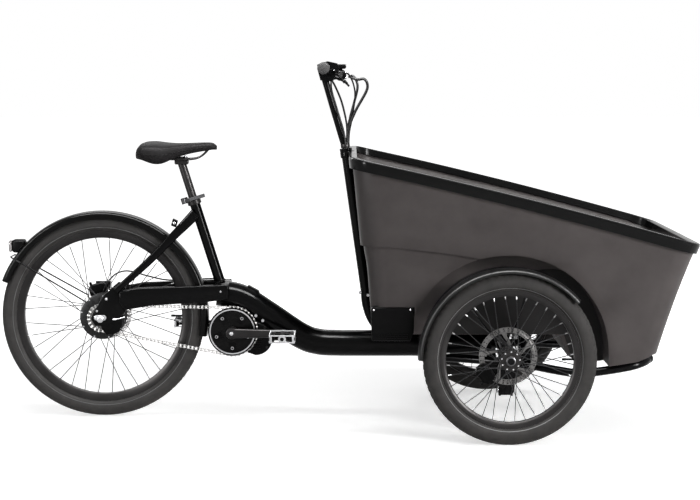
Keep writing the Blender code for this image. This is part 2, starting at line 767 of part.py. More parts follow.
def rear_mudguard():
    radius = REAR_R + GUARD_GAP + GUARD_T
    shape = mudguard(REAR_AXLE, radius, GUARD_HALF, GUARD_SKIRT, GUARD_FROM, GUARD_TO, GUARD_STEPS,
                     flare=0.003)
    part("rear_mudguard", shape, "plastic_black")


def mudguard_stay():
    """One bent wire from dropout to dropout round the back of the mudguard."""
    radius = REAR_R + GUARD_GAP + GUARD_T + 0.0035
    angle = math.radians(146)
    over = REAR_AXLE + Vector((math.cos(angle), 0, math.sin(angle))) * radius
    foot = REAR_AXLE + Vector((-0.046, 0, 0.052))
    skirt_y = GUARD_HALF + 0.0032
    along = (over - foot).normalized()
    near = [foot - Y_AXIS * (DROPOUT_Y - 0.010), over - along * 0.050 - Y_AXIS * skirt_y,
            over - Y_AXIS * skirt_y,
            over - Y_AXIS * (skirt_y - 0.006) + along * 0.004]
    far = [Vector((p.x, -p.y, p.z)) for p in reversed(near)]
    part("mudguard_stay", tube(near + far, 0.0024, 6, Vector((0.3, 0, 1)).normalized()), "frame_black")


def rear_lamp():
    radius = REAR_R + GUARD_GAP + GUARD_T
    out = Vector((math.cos(math.radians(139)), 0, math.sin(math.radians(139))))
    seat = REAR_AXLE + out * (radius + 0.0008)
    back = Vector((-1, 0, 0))
    body = block(seat + Vector((-0.030, -0.022, -0.018)), seat + Vector((0.012, 0.022, 0.024)), 0.004)
    fill = turned([(-0.032, 0), (-0.032, radius + GAP), (0.032, radius + GAP), (0.032, 0)], REAR_AXLE,
                  facets=72)
    body = cut(body, [fill])
    part("rear_lamp", body, "plastic_black")
    lens = block(seat + back * 0.0395 + Vector((0, -0.020, -0.015)),
                 seat + back * 0.0303 + Vector((0, 0.020, 0.021)), 0.003)
    part("rear_lamp_lens", lens, "lens_grey")


# Wheels


def bore_for(radius, sides, gap=GAP):
    """The corner radius of a bore that a round piece of the same count turns in."""
    return (radius + gap) / math.cos(math.pi / sides)


def wheel_profile(points, facets):
    """Radii to corner radii, so that the flats of a turned ring lie at the stated sizes."""
    return [(y, r / math.cos(math.pi / facets)) for y, r in points]


def tyre(name, centre, radius, flange, width, facets, body):
    w, t = width / 2, TYRE_WALL
    bead = RIM_W / 2 - 0.002 - GAP
    half = [(0.011, radius), (w * 0.86, radius - 0.012), (w, flange + 0.016), (bead, flange + 0.0006),
            (bead, flange - 0.006), (bead - 0.003, flange - 0.006)]
    profile = half + [(0.0, radius - t)] + [(-y, r) for y, r in reversed(half)]
    part(name, turned(wheel_profile(profile, facets), centre, facets=facets), "rubber", body)


def rim(centre, flange, depth, facets):
    half = [(RIM_W / 2, flange), (0.009, flange - depth), (-0.009, flange - depth), (-RIM_W / 2, flange),
            (-RIM_W / 2 + 0.002, flange),
            (-RIM_W / 2 + 0.002, flange - 0.0085), (RIM_W / 2 - 0.002, flange - 0.0085),
            (RIM_W / 2 - 0.002, flange)]
    return turned(wheel_profile(half, facets), centre, facets=facets)


def spokes(centre, hub_r, rim_r, flange_y, lean):
    """Crossed spokes: on each side every other one leans forward, and the rest lean back past it."""
    made = []
    for i in range(SPOKES):
        side = 1 if i % 2 else -1
        way = 1 if (i // 2) % 2 else -1
        outer = 2 * math.pi * (i + 0.5) / SPOKES
        inner = outer + way * math.radians(lean)
        start = centre + Vector((math.cos(inner), 0, math.sin(inner))) * (hub_r - 0.004)
        end = centre + Vector((math.cos(outer), 0, math.sin(outer))) * (rim_r + 0.004)
        start += Y_AXIS * side * (flange_y + way * 0.0016)
        end += Y_AXIS * side * 0.0025
        made.append(tube([start, end], SPOKE_W / 2 * 1.15, 3, Y_AXIS))
    return bundle(made)


def rotor(centre, radius, facets=16):
    """A ventilated brake disc: a bored plate with five windows between leaning arms."""
    t = ROTOR_T / 2
    plate = turned([(-t, 0.014), (-t, radius), (t, radius), (t, 0.014)], centre, facets=facets)
    windows = []
    for i in range(5):
        a = 2 * math.pi * i / 5
        corners = [(a + 0.20, 0.030), (a + 1.08, 0.030), (a + 1.38, radius - 0.0175),
                   (a + 0.42, radius - 0.0175)]
        windows.append(skin([[centre + Vector((r * math.cos(b), y, r * math.sin(b))) for b, r in corners]
                             for y in (-0.01, 0.01)]))
    return cut(plate, [bundle(windows)])


def rear_wheel():
    pivot("rear_wheel", REAR_AXLE)
    tyre("rear_tyre", REAR_AXLE, REAR_R, REAR_FLANGE_R, REAR_TYRE_W, REAR_FACETS, "rear_wheel")
    bore = bore_for(REAR_AXLE_R, 12)
    r, face = REAR_HUB_R, REAR_ROTOR_Y - ROTOR_T / 2 - GAP
    hub = turned([(-REAR_HUB_HALF, bore), (-REAR_HUB_HALF, 0.024), (-0.030, 0.027), (-0.030, r),
                  (-0.0235, r), (-0.021, r - 0.010), (0.021, r - 0.010), (0.0235, r), (0.030, r),
                  (0.030, 0.026), (face, 0.026),
                  (face, bore)], REAR_AXLE, facets=12)
    hoop = rim(REAR_AXLE, REAR_FLANGE_R, REAR_RIM_DEPTH, REAR_FACETS)
    rods = spokes(REAR_AXLE, r, REAR_FLANGE_R - REAR_RIM_DEPTH, 0.0268, 22)
    part("rear_rim", join([hoop, rods, hub]), "alloy_black", "rear_wheel")
    part("rear_rotor", rotor(REAR_AXLE + Y_AXIS * REAR_ROTOR_Y, REAR_ROTOR_R), "steel", "rear_wheel")


def rear_axle():
    face = DROPOUT_Y + DROPOUT_T / 2 + GAP
    inner = DROPOUT_Y - DROPOUT_T / 2 - GAP
    left = REAR_ROTOR_Y + ROTOR_T / 2 + GAP
    right = CHAIN_Y + 0.011 + GAP
    r = REAR_AXLE_R
    profile = [(-face - 0.012, 0), (-face - 0.012, 0.008), (-face - 0.009, 0.0115), (-face, 0.0115),
               (-face, r), (-inner, r), (-inner, 0.010), (-right, 0.010), (-right, r), (left, r),
               (left, 0.010), (inner, 0.010), (inner, r), (face, r), (face, 0.0115), (face + 0.009, 0.0115), (face + 0.012, 0.008),
               (face + 0.012, 0)]
    part("rear_axle", turned(profile, REAR_AXLE, facets=8), "steel")


# Drive


def toothed(centre, y, teeth, pitch_r, hole):
    """A chain wheel: pointed teeth on the pitch circle and a round hole."""
    outline = []
    for i in range(teeth):
        for part_turn, r in ((-0.50, pitch_r - 0.0046), (0.0, pitch_r + 0.0019)):
            a = 2 * math.pi * (i + part_turn) / teeth
            outline.append((r * math.cos(a), r * math.sin(a)))
    rings = [[centre + Vector((a, y + s * TOOTH_T / 2, h)) for a, h in outline] for s in (-1, 1)]
    plate = skin(rings)
    return cut(plate, [rod(centre + Y_AXIS * (y - 0.02), centre + Y_AXIS * (y + 0.02), hole, 16)])


def rear_cog():
    pivot("rear_cog", REAR_AXLE)
    plate = toothed(REAR_AXLE, -CHAIN_Y, COG_TEETH, COG_R, 0.012)
    bore = bore_for(REAR_AXLE_R, 12)
    boss = turned([(-CHAIN_Y - 0.011, bore), (-CHAIN_Y - 0.011, 0.015), (-CHAIN_Y - 0.004, 0.019),
                   (-REAR_HUB_HALF - RUN, 0.021), (-REAR_HUB_HALF - RUN, bore)], REAR_AXLE, facets=12)
    part("rear_cog", join([plate, boss]), "steel", "rear_cog")


def chain_loop():
    """The pitch line of the chain round both toothed wheels, seen from the right."""
    gap = BB - REAR_AXLE
    base = math.atan2(gap.z, gap.x)
    tilt = math.acos((COG_R - RING_R) / math.hypot(gap.x, gap.z))
    path = []
    for i in range(10):
        a = base + tilt + (2 * math.pi - 2 * tilt) * i / 9
        path.append(REAR_AXLE + Vector((math.cos(a), 0, math.sin(a))) * COG_R)
    for i in range(13):
        a = base - tilt + 2 * tilt * i / 12
        path.append(BB + Vector((math.cos(a), 0, math.sin(a))) * RING_R)
    return [p - Y_AXIS * CHAIN_Y for p in path]


def chain():
    """The chain as one band, slotted inside for the teeth."""
    h, w, s = CHAIN_H / 2, CHAIN_W / 2, TOOTH_T / 2 + 0.0007
    section = [(w, -h), (w, h), (-w, h), (-w, -h), (-s, -h), (-s, h - 0.0015), (s, h - 0.0015), (s, -h)]
    path = chain_loop()
    rings = []
    for i, point in enumerate(path):
        along = (path[(i + 1) % len(path)] - path[i - 1]).normalized()
        out = along.cross(Y_AXIS).normalized()
        middle_point = (REAR_AXLE + BB) / 2 - Y_AXIS * CHAIN_Y
        if out.dot(point - middle_point) < 0:
            out = -out
        rings.append([point + Y_AXIS * a + out * b for a, b in section])
    part("chain", skin(rings, closed=True), "chain_steel")


def crank_end(side):
    """The right arm points forward and the left arm back."""
    return BB + X_AXIS * (CRANK if side < 0 else -CRANK)


def crank_arm(side):
    end = crank_end(side) + Y_AXIS * side * (CRANK_Y + 0.004)
    start = BB + Y_AXIS * side * CRANK_Y
    arm = sweep([start - (end - start) * 0.04, start + (end - start) * 0.5, end + (end - start) * 0.05],
                rounded(0.030, 0.014, 0.004, 2), Z_AXIS, scale=lambda t: (1 - 0.25 * t, 1 - 0.1 * t))
    return arm


def crank():
    pivot("crank", BB)
    gap_r = SPINDLE_R + GAP
    ring_face = CHAIN_Y + TOOTH_T / 2 + GAP
    right = crank_arm(-1)
    boss = rod(BB - Y_AXIS * ring_face, BB - Y_AXIS * (CRANK_Y + 0.007), 0.0175, 12)
    spider = turned([(-ring_face - 0.0056, 0), (-ring_face - 0.0056, 0.062), (-ring_face, 0.062),
                     (-ring_face, 0)], BB,
                    facets=15)
    pin_end = crank_end(-1)
    pin = rod(pin_end - Y_AXIS * CRANK_Y, pin_end - Y_AXIS * (CRANK_Y + 0.016 + PEDAL_L * 0.9), 0.0055, 8)
    right = join([right, boss, spider, pin])
    bore = rod(BB - Y_AXIS * (ring_face - 0.02), BB - Y_AXIS * (CRANK_Y - 0.001), gap_r, 16)
    part("crank_right", cut(right, [bore]), "alloy_black", "crank")
    left = crank_arm(1)
    spindle = rod(BB + Y_AXIS * CRANK_Y, BB - Y_AXIS * (CRANK_Y - 0.0015), SPINDLE_R, 16)
    boss = rod(BB + Y_AXIS * (MOTOR_HALF + RUN), BB + Y_AXIS * (CRANK_Y + 0.007), 0.0175, 12)
    pin_end = crank_end(1)
    pin = rod(pin_end + Y_AXIS * CRANK_Y, pin_end + Y_AXIS * (CRANK_Y + 0.016 + PEDAL_L * 0.9), 0.0055, 8)
    part("crank_left", join([left, boss, spindle, pin]), "alloy_black", "crank")
    part("chain_ring", toothed(BB, -CHAIN_Y, RING_TEETH, RING_R, 0.050), "steel", "crank")
    disc_y = ring_face + 0.0056 + GAP
    disc = turned([(-disc_y - 0.0025, 0.0182), (-disc_y - 0.0025, GUARD_R - 0.002), (-disc_y, GUARD_R),
                   (-disc_y, 0.0182)], BB, facets=16)
    for i in range(5):
        a = 2 * math.pi * (i - 0.25) / 5
        place = BB + Vector((math.cos(a), 0, math.sin(a))) * 0.055
        disc = combine(disc, turned([(-disc_y - 0.0055, 0), (-disc_y - 0.0055, 0.006),
                                     (-disc_y - 0.001, 0.006),
                                     (-disc_y - 0.001, 0)], place, facets=6), "UNION")
    part("chain_guard", disc, "plastic_black", "crank")


def pedal(side):
    name = "pedal_right" if side < 0 else "pedal_left"
    end = crank_end(side)
    pivot(name, end)
    inner = CRANK_Y + 0.016
    body = block(Vector((end.x - PEDAL_W / 2, min(side * inner, side * (inner + PEDAL_L)),
                         end.z - PEDAL_H / 2)),
                 Vector((end.x + PEDAL_W / 2, max(side * inner, side * (inner + PEDAL_L)),
                         end.z + PEDAL_H / 2)), 0.004)
    tools = [rod(end + Y_AXIS * side * (inner - 0.01), end + Y_AXIS * side * (inner + PEDAL_L * 0.92),
                 bore_for(0.0055, 8), 8)]
    for way in (-1, 1):
        for k in (0.27, 0.73):
            mid = end + Vector((way * PEDAL_W * 0.275, side * (inner + PEDAL_L * k), 0))
            tools.append(block(mid - Vector((0.010, 0.016, 0.03)), mid + Vector((0.010, 0.016, 0.03))))
    part(name, cut(body, tools), "plastic_black", name)


def motor():
    """The mid motor's casing round the crank spindle, with its lobe below the beam."""
    outline = []
    for centre, radius, start, stop in (((BB_AHEAD, BB_Z), 0.056, 70, 270),
                                        ((BB_AHEAD + 0.073, BB_Z - 0.026), 0.054, 270, 430)):
        for i in range(9):
            a = math.radians(start + (stop - start) * i / 8)
            outline.append((centre[0] + radius * math.cos(a), centre[1] + radius * math.sin(a)))
    casing = prism(outline, -0.040, MOTOR_HALF)
    bevel_edges(casing, 0.005)
    tools = [tube(beam_path(), BEAM_R + GAP, 12, Y_AXIS),
             rod(BB - Y_AXIS * 0.1, BB + Y_AXIS * 0.1, bore_for(SPINDLE_R, 16, RUN), 16)]
    part("motor_casing", cut(casing, tools), "plastic_black")


# Front wheels, tilt linkage and steering knuckles


def side_name(side):
    return "right" if side < 0 else "left"


def front_wheel(side):
    body = "front_wheel_" + side_name(side)
    centre = FRONT_AXLE + Y_AXIS * side * HALF_TRACK
    pivot(body, centre)
    tyre("front_tyre_" + side_name(side), centre, FRONT_R, FRONT_FLANGE_R, FRONT_TYRE_W, FRONT_FACETS, body)
    bore = bore_for(STUB_R, 12)
    face = -FRONT_ROTOR_INSET + ROTOR_T / 2 + GAP
    profile = [(face, bore), (face, 0.024), (-0.028, 0.020), (-0.028, 0.031), (-0.0225, 0.031),
               (-0.020, 0.017), (0.020, 0.017), (0.0225, 0.031), (0.028, 0.031), (0.028, 0.015),
               (HUB_OUT, 0.013), (HUB_OUT, bore)]
    hub = turned([(side * y, r) for y, r in profile], centre, facets=12)
    hoop = rim(centre, FRONT_FLANGE_R, FRONT_RIM_DEPTH, FRONT_FACETS)
    rods = spokes(centre, 0.031, FRONT_FLANGE_R - FRONT_RIM_DEPTH, 0.0253, 62)
    part("front_rim_" + side_name(side), join([hoop, rods, hub]), "alloy_black", body)
    disc = rotor(centre - Y_AXIS * side * FRONT_ROTOR_INSET, FRONT_ROTOR_R)
    part("front_rotor_" + side_name(side), disc, "steel", body)


def link_beam(name, height):
    """One cross beam of the tilting parallelogram, bored at the middle and at both ends."""
    x = WHEELBASE
    pivot(name, at(x, 0, height))
    bar = sweep([at(x, -LINK_HALF, height), at(x, LINK_HALF, height)],
                rounded(LINK_DEPTH - 0.004, LINK_H, 0.004, 2), X_AXIS)
    reach = LINK_DEPTH / 2
    middle_boss = rod(at(x - PLATE_IN + GAP, 0, height), at(x + PLATE_IN - GAP, 0, height), 0.019, 12)
    shapes = [bar, middle_boss]
    tools = [rod(at(x - 0.03, 0, height), at(x + 0.03, 0, height), bore_for(LINK_PIN_R + 0.002, 10), 10)]
    for side in (-1, 1):
        y = side * LINK_HALF
        shapes.append(rod(at(x - reach, y, height), at(x + reach, y, height), 0.0155, 10))
        tools.append(rod(at(x - 0.03, y, height), at(x + 0.03, y, height), bore_for(LINK_PIN_R, 8), 8))
    part(name, cut(join(shapes), tools), "frame_black", name)


def between(side, near, far, low, high, back, front, bevel=0.0):
    """A block on one side of the machine, from its inner face to its outer one."""
    y0, y1 = sorted((side * near, side * far))
    return block(at(WHEELBASE + back, y0, low), at(WHEELBASE + front, y1, high), bevel)


def upright(side):
    """The link between the two beams, with the barrel that the steering knuckle turns in."""
    name = "upright_" + side_name(side)
    x, y = WHEELBASE, side * LINK_HALF
    pivot(name, at(x, y, LINK_LOW_Z))
    face = LINK_DEPTH / 2 + GAP
    cheek = 0.0065
    shapes = [rod(at(x, side * KINGPIN_Y, BARREL_Z[0]), at(x, side * KINGPIN_Y, BARREL_Z[1]), 0.0165, 10)]
    for way in (-1, 1):
        back, front = sorted((way * face, way * (face + cheek)))
        shapes.append(between(side, LINK_HALF - 0.014, LINK_HALF + 0.018, LINK_LOW_Z - 0.014,
                              LINK_HIGH_Z + 0.014,
                              back, front))
    shapes.append(between(side, LINK_HALF + 0.0165, KINGPIN_Y, BARREL_Z[0] + 0.003, BARREL_Z[1] - 0.003,
                          -face - cheek + 0.001, face + cheek - 0.001))
    for height in (LINK_LOW_Z, LINK_HIGH_Z):
        shapes.append(rod(at(x - face - cheek / 2, y, height), at(x + face + cheek / 2, y, height),
                          LINK_PIN_R, 8))
    bore = rod(at(x, side * KINGPIN_Y, 0.1), at(x, side * KINGPIN_Y, 0.3), bore_for(KINGPIN_R, 10), 10)
    part(name, cut(join(shapes), [bore]), "frame_black", name)


def knuckle(side):
    """The steering knuckle: kingpin, ears, backing plate and stub axle in one."""
    name = "knuckle_" + side_name(side)
    x, k = WHEELBASE, KINGPIN_Y
    pivot(name, at(x, side * k, FRONT_R))
    pin = rod(at(x, side * k, BARREL_Z[0] - 0.006), at(x, side * k, BARREL_Z[1] + 0.006), KINGPIN_R, 10)
    shapes = [pin]
    for low, high in ((BARREL_Z[1] + GAP, BARREL_Z[1] + 0.012), (BARREL_Z[0] - 0.012, BARREL_Z[0] - GAP)):
        shapes.append(between(side, k - 0.0150, KNUCKLE_Y[0] + 0.004, low, high, -0.0150, 0.0150))
    y0, y1 = sorted((side * KNUCKLE_Y[0], side * KNUCKLE_Y[1]))
    plate = prism([(x - 0.020, 0.276), (x + 0.020, 0.276), (x + 0.026, 0.262), (x + 0.021, 0.150),
                   (x + 0.012, 0.141), (x - 0.012, 0.141), (x - 0.024, 0.165), (x - 0.026, 0.262)], y0, y1)
    shapes.append(plate)
    y0, y1 = sorted((side * (KNUCKLE_Y[0] - 0.005), side * (KNUCKLE_Y[0] + 0.0033)))
    shapes.append(prism([(x - 0.006, 0.236), (x - 0.006, 0.160), (x - 0.070, 0.176), (x - 0.094, 0.200),
                         (x - 0.078, 0.226)], y0, y1))
    profile = [(KNUCKLE_Y[1] - 0.004, 0), (KNUCKLE_Y[1] - 0.004, 0.016), (STUB_SHOULDER - GAP, 0.012),
               (STUB_SHOULDER - GAP, STUB_R), (HALF_TRACK + HUB_OUT + GAP, STUB_R),
               (HALF_TRACK + HUB_OUT + GAP, 0.0110), (HALF_TRACK + HUB_OUT + 0.007, 0.0105),
               (HALF_TRACK + HUB_OUT + 0.007, 0)]
    shapes.append(turned([(side * y, r) for y, r in profile], at(x, 0, FRONT_R), facets=12))
    part(name, join(shapes), "frame_black", name)


def caliper(name, centre, side, angle, radius, body):
    """A brake caliper that straddles the disc's edge at one angle."""
    out = Vector((math.cos(math.radians(angle)), 0, math.sin(math.radians(angle))))
    along = out.cross(Y_AXIS)
    mid = centre + out * (radius - 0.002)
    rings = []
    for depth in (-0.015, -0.0125, 0.0125, 0.015):
        k = 0.86 if abs(depth) > 0.014 else 1.0
        rings.append([mid + Y_AXIS * side * depth + along * (a * k) + out * (b * k)
                      for a, b in rounded(0.058, 0.042, 0.009, 2)])
    body_shape = skin(rings)
    slot = skin([[mid + Y_AXIS * d + along * a + out * b for a, b in
                  ((-0.06, -0.04), (0.06, -0.04), (0.06, 0.0085), (-0.06, 0.0085))]
                 for d in (-0.0024, 0.0024)])
    nipple = rod(mid + along * 0.018 + out * 0.014 - Y_AXIS * side * 0.008,
                 mid + along * 0.018 + out * 0.031 - Y_AXIS * side * 0.008, 0.0045, 8)
    part(name, cut(join([body_shape, nipple]), [slot]), "plastic_black", body)


def front_brake(side):
    centre = FRONT_AXLE + Y_AXIS * side * (HALF_TRACK - FRONT_ROTOR_INSET)
    caliper("front_caliper_" + side_name(side), centre, -side, 217, FRONT_ROTOR_R,
            "knuckle_" + side_name(side))


def front_mudguard(side):
    body = "knuckle_" + side_name(side)
    centre = FRONT_AXLE + Y_AXIS * side * HALF_TRACK
    radius = FRONT_R + FRONT_GUARD_GAP + GUARD_T
    shape = mudguard(centre, radius, FRONT_GUARD_HALF, 0.014, FRONT_GUARD_FROM, FRONT_GUARD_TO, 12)
    foot = at(WHEELBASE, side * (KNUCKLE_Y[0] + 0.007), 0.276)
    block_low, block_high = foot + Vector((-0.016, -0.006, GAP)), foot + Vector((0.016, 0.006, 0.014))
    shapes = [shape, block(block_low, block_high)]
    inner = side * (HALF_TRACK - FRONT_GUARD_HALF - 0.0008)
    for angle, lead in ((76, 0.006), (128, -0.006)):
        a = math.radians(angle)
        out = Vector((math.cos(a), 0, math.sin(a)))
        axle = at(WHEELBASE, 0, FRONT_R)
        start = foot + Vector((lead, 0, 0.006))
        path = [start, axle + out * 0.100 + Y_AXIS * side * (KNUCKLE_Y[0] + 0.009),
                axle + out * 0.150 + Y_AXIS * inner,
                axle + out * (radius - 0.002) + Y_AXIS * inner]
        shapes.append(tube(path, 0.0024, 4, X_AXIS))
    part("front_mudguard_" + side_name(side), join(shapes), "trim_black", body)


# Saddle


def seat_collar():
    low, top, up = seat_tube_axis()
    ring = turned([(-0.020, SEAT_TUBE_R + GAP), (-0.020, 0.0225), (0.0035, 0.0225),
                   (0.0035, POST_R + 2 * GAP),
                   (GAP, POST_R + 2 * GAP), (GAP, SEAT_TUBE_R + GAP)], top, up, 12)
    ears = block(Vector((-0.010, -0.009, -0.018)), Vector((0.015, 0.009, 0.0015)))
    frame = Matrix.Translation(top - X_AXIS * 0.030) @ Matrix.Rotation(-math.radians(17.3), 4, "Y")
    ears.data.transform(frame)
    clear = rod(top - up * 0.04, top + up * 0.04, SEAT_TUBE_R + 0.003, 12)
    ring = join([ring, cut(ears, [clear])])
    part("seat_collar", ring, "alloy_black")
    place = top - X_AXIS * 0.030 - up * 0.0085
    cam = place - Y_AXIS * (0.009 + GAP + CAM_R)
    pivot("seat_lever", cam)
    arm = sweep([cam + Vector((0.001, -0.0005, 0)), place + Vector((0.020, -0.0310, 0.006)),
                 place + Vector((0.068, -0.0325, 0.021))], rounded(0.012, 0.006, 0.002, 1), Z_AXIS)
    drum = rod(cam - up * 0.0075, cam + up * 0.0075, CAM_R, 12)
    part("seat_lever", join([arm, drum]), "steel", "seat_lever")


def seat_post():
    low, top, up = seat_tube_axis()
    pivot("saddle", top)
    head = at(0.2565, 0, 0.826)
    bottom = top - up * (POST_INSERT - 0.075)
    shaft = rod(bottom, top + up * 0.118, POST_R, 12)
    clamp = block(head + Vector((-0.020, -0.019, -0.010)), head + Vector((0.024, 0.019, 0.006)), 0.003)
    cap = block(head + Vector((-0.016, -0.027, 0.003)), head + Vector((0.020, 0.027, 0.014)), 0.003)
    whole = join([shaft, clamp, cap])
    part("seat_post", cut(whole, [tube(rail_path(), RAIL_R + GAP, 8, Z_AXIS)]), "alloy_black", "saddle")


def rail_path(extra=0.0):
    """One wire: from its right socket forward, across under the nose and back on the left."""
    route = [(0.160, 0.044, 0.852), (0.185, 0.036, 0.838), (0.215, 0.0225, 0.8335), (0.290, 0.0225, 0.8335),
             (0.322, 0.016, 0.843), (0.346, 0.010, 0.866)]
    right = [at(a, -s, h) for a, s, h in route]
    right[0] -= (right[1] - right[0]).normalized() * extra
    return right + [Vector((p.x, -p.y, p.z)) for p in reversed(right)]


# Saddle outline: ahead, top height, half width, depth of the skirt, height of the edge below the top
SADDLE = [(0.118, 0.860, 0.052, 0.022), (0.124, 0.874, 0.074, 0.038), (0.140, 0.887, 0.092, 0.054),
          (0.170, 0.8905, 0.098, 0.068), (0.192, 0.8890, 0.093, 0.069), (0.212, 0.8865, 0.083, 0.062),
          (0.240, 0.8845, 0.063, 0.047), (0.270, 0.8845, 0.044, 0.038), (0.300, 0.8855, 0.034, 0.032),
          (0.335, 0.8865, 0.027, 0.027), (0.358, 0.8850, 0.022, 0.022), (0.371, 0.8760, 0.012, 0.013)]


def saddle_ring(ahead, top, half, depth):
    """One section of the cushion: crowned on top, full at the side, drawn in below."""
    section = []
    for k in range(9):
        a = math.pi * k / 8
        section.append((half * math.cos(a), top - depth * 0.42 + depth * 0.42 * math.sin(a) ** 0.8))
    under = top - min(depth * 0.80, 0.042)
    edge = [(-half * 0.96, top - depth * 0.75), (-half * 0.80, top - depth), (-half * 0.62, under),
            (half * 0.62, under), (half * 0.80, top - depth), (half * 0.96, top - depth * 0.75)]
    return [at(ahead, y, z) for y, z in section + edge]


def saddle():
    shape = skin([saddle_ring(*row) for row in SADDLE])
    part("saddle", cut(shape, [tube(rail_path(0.001), RAIL_R + GAP, 8, Z_AXIS)]), "saddle_skin", "saddle")
    part("saddle_rails", tube(rail_path(), RAIL_R, 8, Z_AXIS), "steel", "saddle")


# Handlebar


def mast():
    steer_top, steer_up = steer_axis()
    pivot("handlebar", steer_top)
    route = [steer_top - steer_up * MAST_INSERT, steer_top + steer_up * 0.008, at(0.7715, 0, 0.900),
             at(0.7200, 0, 1.076),
             at(0.7140, 0, 1.098)]
    tube_shape = tube(route, MAST_R, 12, Y_AXIS)
    neck = sweep([at(0.706, 0, 1.093), at(0.760, 0, 1.100)], rounded(0.030, 0.028, 0.006, 2), Y_AXIS)
    clamp = rod(BAR_CENTRE - Y_AXIS * 0.023, BAR_CENTRE + Y_AXIS * 0.023, 0.0185, 12)
    whole = join([tube_shape, neck, clamp])
    bore = rod(BAR_CENTRE - Y_AXIS * 0.031, BAR_CENTRE + Y_AXIS * 0.031, BAR_R + GAP, 12)
    part("mast", cut(whole, [bore]), "frame_black", "handlebar")


def bar_path(side_limit=BAR_HALF):
    half = [(STEM_AHEAD, 0.032, STEM_Z), (0.7625, 0.060, 1.1025), (0.7525, 0.086, 1.108),
            (0.7385, 0.110, 1.115), (0.7250, 0.132, 1.120), (0.7180, 0.150, BAR_Z),
            (GRIP_AHEAD, 0.160, BAR_Z)]
    right = [at(a, -s, h) for a, s, h in half]
    right.append(at(GRIP_AHEAD, -side_limit, BAR_Z))
    left = [Vector((p.x, -p.y, p.z)) for p in reversed(right)]
    return left + right


def handlebar():
    part("handlebar", tube(bar_path(), BAR_R, 12, Z_AXIS), "alloy_black", "handlebar")
    for side in (-1, 1):
        centre = at(GRIP_AHEAD, 0, BAR_Z)
        start, end = BAR_HALF - GRIP_L + 0.005, BAR_HALF + 0.005
        bore = BAR_R + GAP
        profile = [(start, bore), (start, GRIP_R + 0.002), (start + 0.006, GRIP_R + 0.002),
                   (start + 0.012, GRIP_R),
                   (end - 0.030, GRIP_R + 0.001), (end, GRIP_R + 0.001), (end, 0)]
        profile = profile + [(BAR_HALF + GAP, 0), (BAR_HALF + GAP, bore)]
        grip = grip_shape(side, centre, profile)
        part("grip_" + side_name(side), grip, "grip_rubber", "handlebar")
        brake_lever(side)
    brake_bodies()


def grip_shape(side, centre, profile):
    """A sleeve with a closed end, bored for the bar."""
    shell = turned([(side * profile[0][0], 0)] + [(side * y, r) for y, r in profile[1:7]], centre,
                   facets=12)
    bore = rod(centre + Y_AXIS * side * 0.15, centre + Y_AXIS * side * (BAR_HALF + GAP), BAR_R + GAP, 12)
    return cut(shell, [bore])


def brake_bodies():
    side = -1
    centre = at(GRIP_AHEAD, side * 0.190, BAR_Z)
    ring = rod(centre - Y_AXIS * side * 0.007, centre + Y_AXIS * side * 0.007, 0.0155, 12)
    barrel = sweep([centre + Vector((0.0265, side * -0.034, -0.012)),
                    centre + Vector((0.0265, side * 0.004, -0.012))],
                   rounded(0.020, 0.020, 0.006, 2), Z_AXIS)
    bridge = block(centre + Vector((0.008, -0.006, -0.0185)), centre + Vector((0.028, 0.0055, -0.0035)))
    lug = block(centre + Vector((0.020, min(side * 0.002, side * 0.0165), -0.0178)),
                centre + Vector((0.0345, max(side * 0.002, side * 0.0165), -0.0062)))
    outline = [(GRIP_AHEAD + a, BAR_Z + z) for a, z in HOUSING]
    housing = prism(outline, centre.y + side * -HOUSING_Y[0], centre.y + side * -HOUSING_Y[1])
    whole = join([ring, barrel, bridge, lug, housing])
    tools = [rod(centre - Y_AXIS * 0.03, centre + Y_AXIS * 0.03, BAR_R + GAP, 12)]
    slot_low = centre + Vector((0.024, min(side * 0.009, side * 0.03), -0.0145))
    slot_high = centre + Vector((0.06, max(side * 0.009, side * 0.03), -0.0095))
    tools.append(block(slot_low, slot_high))
    whole = cut(whole, tools)
    other = mirrored(whole)
    part("brake_body_right", whole, "plastic_black", "handlebar")
    part("brake_body_left", other, "plastic_black", "handlebar")


def brake_lever(side):
    name = "brake_lever_" + side_name(side)
    centre = at(GRIP_AHEAD, side * 0.190, BAR_Z)
    hinge = centre + Vector((0.0305, side * 0.012, -0.012))
    pivot(name, hinge)
    path = [hinge + Vector((0.004, side * 0.0005, 0)), hinge + Vector((0.014, side * 0.014, 0)),
            hinge + Vector((0.019, side * 0.040, -0.001)), hinge + Vector((0.016, side * 0.085, -0.002)),
            hinge + Vector((0.022, side * 0.112, -0.002))]
    blade = sweep(path, rounded(0.0042, 0.009, 0.001, 1), Z_AXIS)
    part(name, blade, "alloy_black", name)


def display():
    """The display on the bar beside the stem."""
    place = at(0.7645, -0.046, 1.1013)
    body = block(place + Vector((-0.022, -0.026, 0.018)), place + Vector((0.020, 0.026, 0.032)), 0.004)
    strap = rod(place - Y_AXIS * 0.007, place + Y_AXIS * 0.007, 0.0155, 10)
    post = block(place + Vector((-0.008, -0.006, 0.010)), place + Vector((0.008, 0.006, 0.022)))
    whole = join([body, strap, post])
    way = (bar_path()[-7] - bar_path()[-8]).normalized()
    part("display", cut(whole, [rod(place - way * 0.03, place + way * 0.03, BAR_R + 2 * GAP, 12)]),
         "plastic_black",
         "handlebar")


def battery():
    low = at(BATTERY[0], -COVER_Y + 0.002, BATTERY_Z[0])
    high = at(BATTERY[1], -BATTERY_IN, BATTERY_Z[1])
    part("battery_pack", block(low, high, 0.005), "plastic_black")


